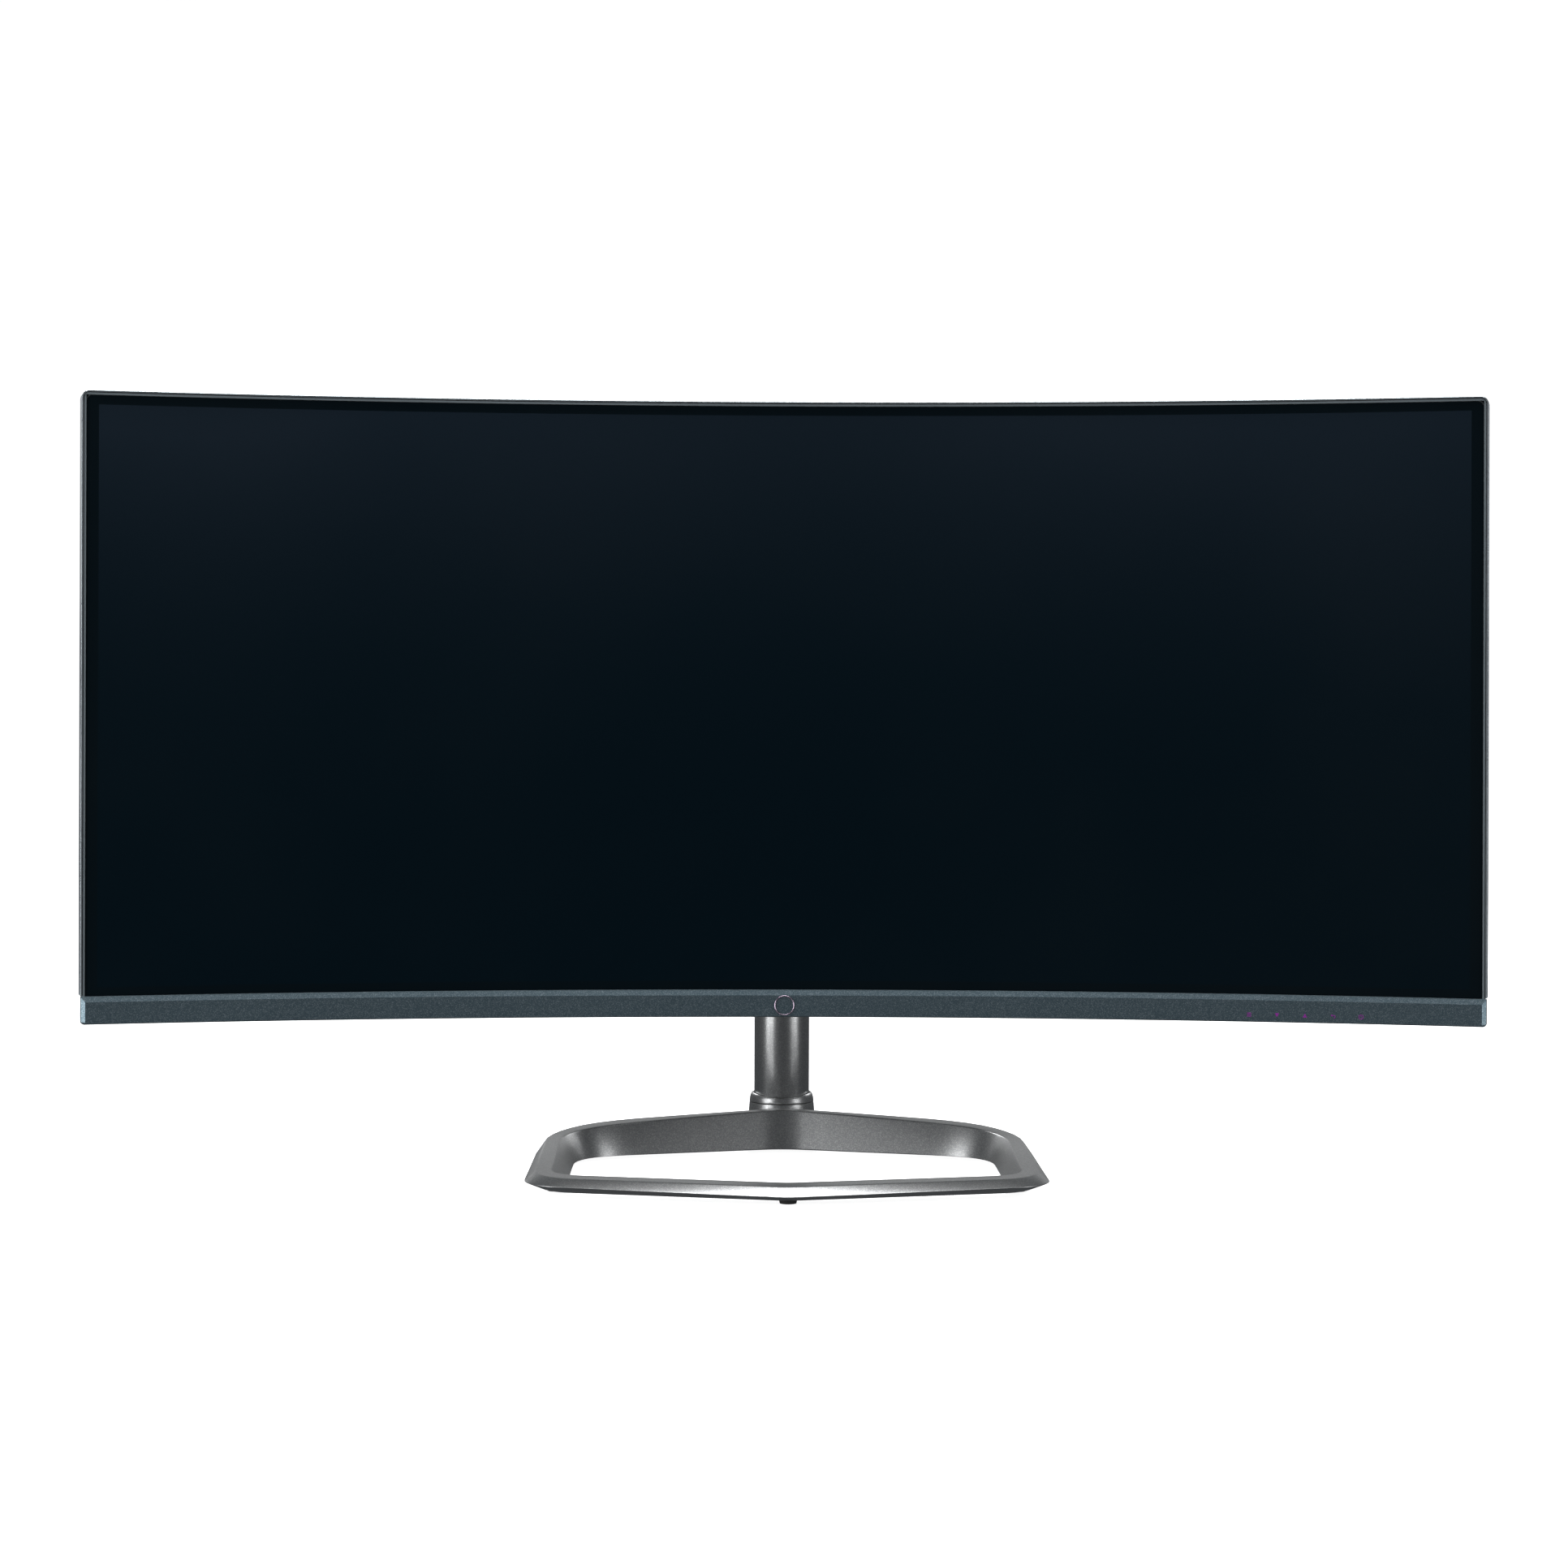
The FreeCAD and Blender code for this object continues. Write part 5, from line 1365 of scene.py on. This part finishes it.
@dataclass
class Back:
    """The rear cover, its screws and vents, the dock and the push buttons."""

    screen: Screen
    points: PointSetter
    row: RowSetter
    slat_wall: float = 0.9 * MM
    slat_count: int = 57
    slat_pitch: float = 7.0 * MM

    def screw_pattern(self, name: str, reach: float, depth: float) -> bpy.types.Object:
        """Make one pan-head screw with a cross recess, head towards +Y.

        Args:
            name: the pattern's name.
            reach: the head's radius.
            depth: the head's height.

        Returns:
            The pattern object, its head's face at y = 0.
        """
        head = lathe(name, [(0.0, -depth), (reach, -depth), (reach, -depth * 0.35),
                            (reach * 0.82, -depth * 0.08), (reach * 0.5, 0.0), (0.0, 0.0)], 24)
        cutter_work = bmesh.new()
        slot = reach * 0.16
        add_box(cutter_work, (-reach * 0.6, -slot, -depth * 0.55), (reach * 0.6, slot, depth))
        add_box(cutter_work, (-slot, -reach * 0.6, -depth * 0.55), (slot, reach * 0.6, depth))
        cutter = new_piece(f"{name}_cross", cutter_work)
        carve = head.modifiers.new("cross", "BOOLEAN")
        carve.operation = "DIFFERENCE"
        carve.solver = "EXACT"
        carve.use_self = True
        carve.object = cutter
        freeze(head)
        bpy.data.objects.remove(cutter)
        head.data.transform(Matrix.Rotation(math.radians(-90.0), 4, "X"))
        smooth_by_angle(head, 40.0)
        return head

    def build_screws(self, node: str, name: str, reach: float, depth: float) -> None:
        """Set a detailed screw on each of a node's screw places.

        Args:
            node: the CAD node with the screws.
            name: the new piece's name.
            reach: the screw head's radius.
            depth: the screw head's depth.
        """
        pattern = self.screw_pattern(f"{name}_pattern", reach, depth)
        work = bmesh.new()
        for low, high in island_boxes(node):
            middle = low.lerp(high, 0.5)
            work.verts.new((middle.x, high.y, middle.z))
        piece = new_piece(name, work)
        self.points.apply(piece, self.screen.finishes["steel"], Pattern=pattern, Size=1.0)
        bpy.data.objects.remove(pattern)
        smooth_by_angle(piece, 40.0)
        mount(piece, "display", [node])

    def build_slats(self) -> None:
        """Build the row of slats that shows behind the vent slots."""
        work = bmesh.new()
        add_box(work, (-self.slat_wall / 2, 33.5 * MM, 330.0 * MM),
                (self.slat_wall / 2, 35.5 * MM, 350.0 * MM))
        slats = new_piece("vent_slats", work)
        self.row.apply(slats, self.screen.finishes["black"], Count=self.slat_count,
                       Pitch=self.slat_pitch)
        self.screen.bent(slats, "black")
        mount(slats, "display")

    def build(self) -> None:
        """Build every piece of the back."""
        black = self.screen.finishes["black"]
        refined("rear_cover", "display", black, 0.35 * MM)
        self.build_screws("cover_screws", "cover_screw_heads", 2.4 * MM, 1.6 * MM)
        self.build_screws("dock_screws", "dock_screw_heads", 3.9 * MM, 2.2 * MM)
        self.build_slats()
        refined("release_button", "release_button",
                self.screen.finishes["button"], 0.6 * MM)
        refined("dock_plate", "display", self.screen.finishes["cast"])
        refined("arm_bracket", "display", self.screen.finishes["zinc"], 0.0)
        for node in BUTTONS.values():
            refined(node, node, self.screen.finishes["button"])


# ---- the stand ----------------------------------------------------------------------------


@dataclass(frozen=True)
class HexLoop:
    """A six-sided outline with rounded corners, even about the middle."""

    half_width: float
    front: float
    front_corner: float
    rear_corner: float
    rear: float
    front_radius: float
    rear_radius: float

    def points(self, height: Callable[[Vector], float], steps: int = 8,
               straights: int = 10) -> list[Vector]:
        """Walk round the outline.

        Args:
            height: gives the z of a point in millimetres.
            steps: how many steps each corner has.
            straights: how many points each side has between its corners.

        Returns:
            The points in metres.
        """
        corners = [Vector((0, self.front, 0)), Vector((self.half_width, self.front_corner, 0)),
                   Vector((self.half_width, self.rear_corner, 0)), Vector((0, self.rear, 0)),
                   Vector((-self.half_width, self.rear_corner, 0)),
                   Vector((-self.half_width, self.front_corner, 0))]
        ends = []
        found = []
        for index, corner in enumerate(corners):
            before = (corners[index - 1] - corner).normalized()
            after = (corners[(index + 1) % 6] - corner).normalized()
            radius = self.rear_radius if index in (2, 3, 4) else self.front_radius
            reach = radius / math.tan(before.angle(after) / 2)
            ends.append((corner + before * reach, corner, corner + after * reach))
        for index, (start, corner, end) in enumerate(ends):
            for step in range(steps + 1):
                share = step / steps
                found.append(start * (1 - share) ** 2 + corner * (2 * share * (1 - share))
                             + end * share ** 2)
            following = ends[(index + 1) % 6][0]
            for step in range(1, straights + 1):
                found.append(end.lerp(following, step / (straights + 1)))
        return [Vector((point.x, point.y, height(point))) * MM for point in found]


CREST_FRONT = 10.2
CREST_SLOPE = 0.044
CREST_HUMP = 6.6
RING_FRONT_Y = -258.0
HUMP_START_Y = -115.0
HUMP_RISE = 50.0
HUMP_HALF_WIDTH = 135.0


def crest(point: Vector) -> float:
    """Give the height of the ring's top: low in front, with a hump behind.

    Args:
        point: a place on the ring in millimetres.

    Returns:
        The height there in millimetres.
    """
    slope = CREST_FRONT + CREST_SLOPE * (point.y - RING_FRONT_Y)
    behind = max(0.0, min(1.0, (point.y - HUMP_START_Y) / HUMP_RISE))
    centre = max(0.0, 1.0 - abs(point.x) / HUMP_HALF_WIDTH)
    return slope + CREST_HUMP * behind * (3.0 - 2.0 * behind) * behind * centre ** 0.8


def belt(point: Vector) -> float:
    """Give the height of the ring's widest line in millimetres."""
    return 5.0 + 3.0 * min(1.0, abs(point.x) / 140.0)


@dataclass
class Stand:
    """The ring base, the swivel, the column and the tilting head."""

    finishes: Finishes
    crown: CrownSetter
    floor_gap: float = 2.2
    edge: float = 0.9 * MM
    knurls: int = 36
    knurl_radius: float = 0.7 * MM
    knurl_length: float = 2.4 * MM
    knurl_height: float = 5.1 * MM
    knurl_reach: float = 11.8 * MM

    def build_ring(self) -> None:
        """Build the ring casting by skinning its five outlines with rounded edges."""
        def floor(_: Vector) -> float:
            """Give the height of the casting's lower face."""
            return self.floor_gap

        loops = [
            HexLoop(136.0, -257.5, -225.0, -74.0, -43.0, 26.0, 56.0).points(floor),
            HexLoop(145.3, -265.5, -242.0, -62.0, -38.0, 28.0, 64.0).points(belt),
            HexLoop(139.5, -259.4, -232.2, -66.3, -42.0, 30.0, 62.0).points(crest),
            HexLoop(131.0, -246.0, -222.5, -83.0, -48.0, 22.0, 45.6).points(crest),
            HexLoop(122.5, -243.0, -219.0, -87.5, -50.0, 16.0, 41.0).points(floor),
        ]
        work = bmesh.new()
        stations = []
        for station in range(len(loops[0])):
            section = [loop[station] for loop in loops]
            stations.append([work.verts.new(point) for point in self.rounded(section)])
        for near, far in zip(stations, stations[1:] + stations[:1]):
            for index in range(len(near)):
                follow = (index + 1) % len(near)
                work.faces.new((near[index], near[follow], far[follow], far[index]))
        ring = new_piece("ring_casting", work)
        smooth_by_angle(ring, 40.0)
        dress(ring, self.finishes["stand"])
        mount(ring, "base", ["base_ring"])

    def rounded(self, section: Sequence[Vector]) -> list[Vector]:
        """Round the corners of one closed section.

        Args:
            section: its corners in order.

        Returns:
            The points of the rounded section.
        """
        points = []
        for index, corner in enumerate(section):
            before = (section[index - 1] - corner)
            after = (section[(index + 1) % len(section)] - corner)
            start = corner + before.normalized() * min(self.edge, before.length * 0.3)
            end = corner + after.normalized() * min(self.edge, after.length * 0.3)
            for share in (0.0, 0.33, 0.67, 1.0):
                points.append(start * (1 - share) ** 2 + corner * (2 * share * (1 - share))
                              + end * share ** 2)
        return points

    def build_hub(self) -> None:
        """Build the hub behind the ring and the web that joins them."""
        profile = [(15.0, 2.2), (31.5, 2.2), (32.6, 2.9), (33.0, 4.2), (31.2, 12.6),
                   (30.4, 14.2), (28.4, 15.6), (27.0, 16.0), (20.4, 16.0), (20.4, 18.0),
                   (17.1, 18.0), (17.1, 10.0), (3.5, 10.0), (3.5, 7.0), (15.0, 7.0)]
        hub = lathe("base_hub", [(reach * MM, up * MM) for reach, up in profile])
        smooth_by_angle(hub, 28.0)
        dress(hub, self.finishes["stand"])
        mount(hub, "base")
        work = bmesh.new()
        low, high = self.floor_gap * MM, 17.5 * MM
        outline = [(-24.0 * MM, low), (24.0 * MM, low), (24.0 * MM, high - 2.0 * MM),
                   (22.0 * MM, high), (-22.0 * MM, high), (-24.0 * MM, high - 2.0 * MM)]
        add_prism(work, outline, -47.0 * MM, -21.0 * MM)
        web = soften(new_piece("base_web", work), 0.8 * MM)
        smooth_by_angle(web)
        dress(web, self.finishes["stand"])
        mount(web, "base")

    def build_feet(self) -> None:
        """Build the rubber feet as low domes with a soft edge, and the hub pad."""
        work = bmesh.new()
        for low, high in island_boxes("rubber_feet"):
            middle = low.lerp(high, 0.5)
            radius = (high.x - low.x) / 2
            made = bmesh.ops.create_cone(work, cap_ends=True, segments=40, radius1=radius * 0.92,
                                         radius2=radius, depth=high.z - low.z)
            bmesh.ops.translate(work, verts=made["verts"], vec=middle)
        feet = soften(new_piece("soft_feet", work), 0.25 * MM)
        smooth_by_angle(feet)
        dress(feet, self.finishes["rubber"])
        mount(feet, "base", ["rubber_feet"])
        refined("hub_pad", "base", self.finishes["rubber"], 0.3 * MM)

    def build_thumbscrew(self) -> None:
        """Build the thumbscrew's finished head with its crown of knurls."""
        steel = self.finishes["steel"]
        refined("thumbscrew", "thumbscrew", steel)
        refined("thumbscrew_ring", "thumbscrew_ring", steel, 0.0)
        work = bmesh.new()
        made = bmesh.ops.create_cone(work, cap_ends=True, segments=6,
                                     radius1=self.knurl_radius, radius2=self.knurl_radius,
                                     depth=self.knurl_length)
        bmesh.ops.translate(work, verts=made["verts"], vec=(0.0, 0.0, self.knurl_height))
        knurls = new_piece("thumbscrew_knurls", work)
        self.crown.apply(knurls, steel, Count=self.knurls, Reach=self.knurl_reach)
        mount(knurls, "thumbscrew")

    def build(self) -> None:
        """Build every piece of the stand."""
        stand = self.finishes["stand"]
        self.build_ring()
        self.build_hub()
        self.build_feet()
        self.build_thumbscrew()
        refined("column_tube", "column", stand, 0.3 * MM)
        refined("upper_collar", "column", stand, 0.35 * MM)
        refined("lower_collar", "base", stand, 0.2 * MM)
        refined("column_cap", "column", self.finishes["black"], 0.2 * MM)
        refined("head_cover", "carriage", self.finishes["black"], 0.8 * MM)
        refined("head_bracket", "carriage", self.finishes["cast"], 0.5 * MM)
        refined("neck", "carriage", self.finishes["cast"], 0.5 * MM)
        refined("tilt_knuckle", "display", self.finishes["cast"], 0.5 * MM)


@dataclass
class Inside:
    """The lift spring, and the CAD nodes that keep their shape and only get a finish."""

    finishes: Finishes
    reel_height: float = 383.0 * MM
    lift_up: float = 80.0 * MM
    spring_gap: float = 0.3 * MM
    uses: dict[str, tuple[str, ...]] = field(default_factory=lambda: {
        "frame": ("mid_frame",),
        "film": ("optical_films",),
        "acrylic": ("light_guide",),
        "board": ("led_strip", "source_board", "timing_board", "main_board", "power_board",
                  "key_board"),
        "zinc": ("panel_tray", "chassis_plate"),
        "black": ("board_components", "tact_switches", "audio_socket", "power_inlet"),
        "steel": ("foot_insert", "retaining_ring", "guide_rods", "hinge_pin", "hinge_nuts",
                  "friction_washers", "spring_reel", "video_sockets", "graphics_sockets"),
        "acetal": ("glider", "swivel_washer", "column_plug"),
        "ribbon": ("panel_cable", "key_cable", "backlight_cable"),
    })

    def build_lift_spring(self) -> None:
        """Build the flat lift spring in the shape of its CAD node. In the real stand it winds up
        on its reel as the head rises.
        """
        spring = refined("lift_spring", "column", self.finishes["steel"], 0.0)
        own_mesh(spring)

    def build(self) -> None:
        """Give each kept node its finish."""
        self.build_lift_spring()
        for use, nodes in self.uses.items():
            for node in nodes:
                dress(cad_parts[node], self.finishes[use])
                LOG.info("%s keeps its CAD shape with finish %s", node, use)


# ---- the studio ---------------------------------------------------------------------------


@dataclass
class Studio:
    """The floor, the soft lights and the camera."""

    eye: Point = (-0.0298, -2.0166, 0.2684)
    heading: float = 0.868
    lean: float = 0.18
    lens: float = 74.73
    sensor: float = 36.0
    rise: float = -0.048
    floor_start: float = 0.3
    floor_reach: float = 4.0
    floor_bend: float = 1.0
    floor_top: float = 6.0
    glow: float = 0.9

    def build_floor(self) -> None:
        """Build the pale round floor that sweeps up all round."""
        steps, sides = 10, 96
        path = [(self.floor_start, 0.0), (self.floor_reach / 2.0, 0.0)]
        for step in range(steps + 1):
            angle = math.radians(90.0 * step / steps)
            path.append((self.floor_reach + self.floor_bend * math.sin(angle),
                         self.floor_bend * (1.0 - math.cos(angle))))
        path.append((self.floor_reach + self.floor_bend, self.floor_top))
        work = bmesh.new()
        rings = [[work.verts.new((reach * math.cos(2.0 * math.pi * side / sides),
                                  reach * math.sin(2.0 * math.pi * side / sides), up))
                  for side in range(sides)] for reach, up in path]
        work.faces.new(rings[0])
        for near, far in zip(rings, rings[1:]):
            for side in range(sides):
                follow = (side + 1) % sides
                work.faces.new((near[side], far[side], far[follow], near[follow]))
        floor = new_piece("studio_floor", work)
        floor.data.flip_normals()
        floor.data.shade_smooth()
        surface = Surface("studio_paper")
        tone = surface.bench.remap(surface.bench.noise(surface.place, 3.0), 0.0, 1.0, 0.86,
                                   0.9)
        surface.bench.wire(tone, surface.shader.inputs["Base Color"])
        surface.set(Roughness=0.9, Specular_IOR_Level=0.1, Emission_Strength=self.glow)
        surface.shader.inputs["Emission Color"].default_value = rgba((1.0, 1.0, 1.0))
        bench = surface.bench
        side = bench.add("ShaderNodeNewGeometry")
        clear = bench.add("ShaderNodeBsdfTransparent")
        mix = bench.add("ShaderNodeMixShader")
        bench.wire(side.outputs["Backfacing"], mix.inputs[0])
        bench.wire(surface.shader.outputs[0], mix.inputs[1])
        bench.wire(clear.outputs[0], mix.inputs[2])
        outlet = next(node for node in surface.material.node_tree.nodes
                      if node.type == "OUTPUT_MATERIAL")
        bench.wire(mix.outputs[0], outlet.inputs["Surface"])
        dress(floor, surface.material)
        floor.visible_glossy = False
        floor.visible_diffuse = False
        floor.visible_shadow = False

    def add_light(self, name: str, place: Point, aim: Point, width: float, height: float,
                  watts: float) -> None:
        """Hang one soft rectangular light.

        Args:
            name: the light's name.
            place: where it hangs.
            aim: the point it faces.
            width: its width.
            height: its height.
            watts: its power.
        """
        data = bpy.data.lights.new(name, "AREA")
        data.shape = "RECTANGLE"
        data.size = width
        data.size_y = height
        data.energy = watts
        light = bpy.data.objects.new(name, data)
        bpy.context.scene.collection.objects.link(light)
        light.location = place
        direction = Vector(aim) - Vector(place)
        light.rotation_euler = direction.to_track_quat("-Z", "Y").to_euler()
        light.visible_camera = False

    def build_lights(self) -> None:
        """Hang the soft lights and set the dim room."""
        middle = (0.0, -0.05, 0.25)
        base = (0.0, -0.26, 0.0)
        self.add_light("top_soft", (0.0, -0.22, 1.5), base, 1.6, 0.34, 17.0)
        self.add_light("room_soft", (0.0, -0.6, 2.4), middle, 3.0, 1.6, 14.0)
        self.add_light("left_soft", (-1.5, -1.15, 0.1), middle, 0.9, 1.5, 21.0)
        self.add_light("right_soft", (1.55, -1.1, 0.1), middle, 0.7, 1.5, 11.0)
        self.add_light("back_soft", (0.0, 2.2, 0.75), base, 3.4, 0.7, 3.6)
        self.add_light("rear_left_soft", (-1.6, 1.6, 1.7), middle, 1.2, 1.0, 34.0)
        self.add_light("rear_right_soft", (1.8, 1.5, 1.5), middle, 1.0, 1.0, 22.0)
        world = bpy.data.worlds.new("studio_room")
        world.use_nodes = True
        backdrop = world.node_tree.nodes["Background"]
        backdrop.inputs["Color"].default_value = (0.75, 0.8, 0.85, 1.0)
        backdrop.inputs["Strength"].default_value = 0.1
        bpy.context.scene.world = world
        bpy.context.scene.view_settings.view_transform = "Standard"

    def build_camera(self) -> None:
        """Set the camera at the viewing angle."""
        data = bpy.data.cameras.new("viewer")
        data.lens = self.lens
        data.sensor_width = self.sensor
        data.shift_y = self.rise
        data.clip_start = 0.01
        camera = bpy.data.objects.new("viewer", data)
        bpy.context.scene.collection.objects.link(camera)
        heading = math.radians(self.heading)
        lean = math.radians(self.lean)
        ahead = Vector((math.sin(heading), math.cos(heading), 0.0))
        level = Vector((math.cos(heading), -math.sin(heading), 0.0))
        right = level * math.cos(lean) + Vector((0.0, 0.0, math.sin(lean)))
        above = right.cross(ahead)
        turn = Matrix((right, above, -ahead)).transposed()
        camera.matrix_world = Matrix.Translation(self.eye) @ turn.to_4x4()
        bpy.context.scene.camera = camera

    def build(self) -> None:
        """Build the studio."""
        self.build_floor()
        self.build_lights()
        self.build_camera()


def clear_startup() -> None:
    """Remove the objects that an untouched startup file holds."""
    for name in ("Cube", "Light", "Camera"):
        item = bpy.data.objects.get(name)
        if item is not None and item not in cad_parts.values():
            bpy.data.objects.remove(item)


def main() -> None:
    """Build the monitor and its studio."""
    logging.basicConfig(level=logging.INFO, format="%(message)s")
    clear_startup()
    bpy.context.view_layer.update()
    curve = Curve()
    finishes = Finishes(Effects(), curve)
    screen = Screen(curve, ScreenBend(), finishes)
    screen.build()
    Signs(screen).build()
    Back(screen, PointSetter(), RowSetter()).build()
    Stand(finishes, CrownSetter()).build()
    Inside(finishes).build()
    Studio().build()


if __name__ == "__main__":
    main()
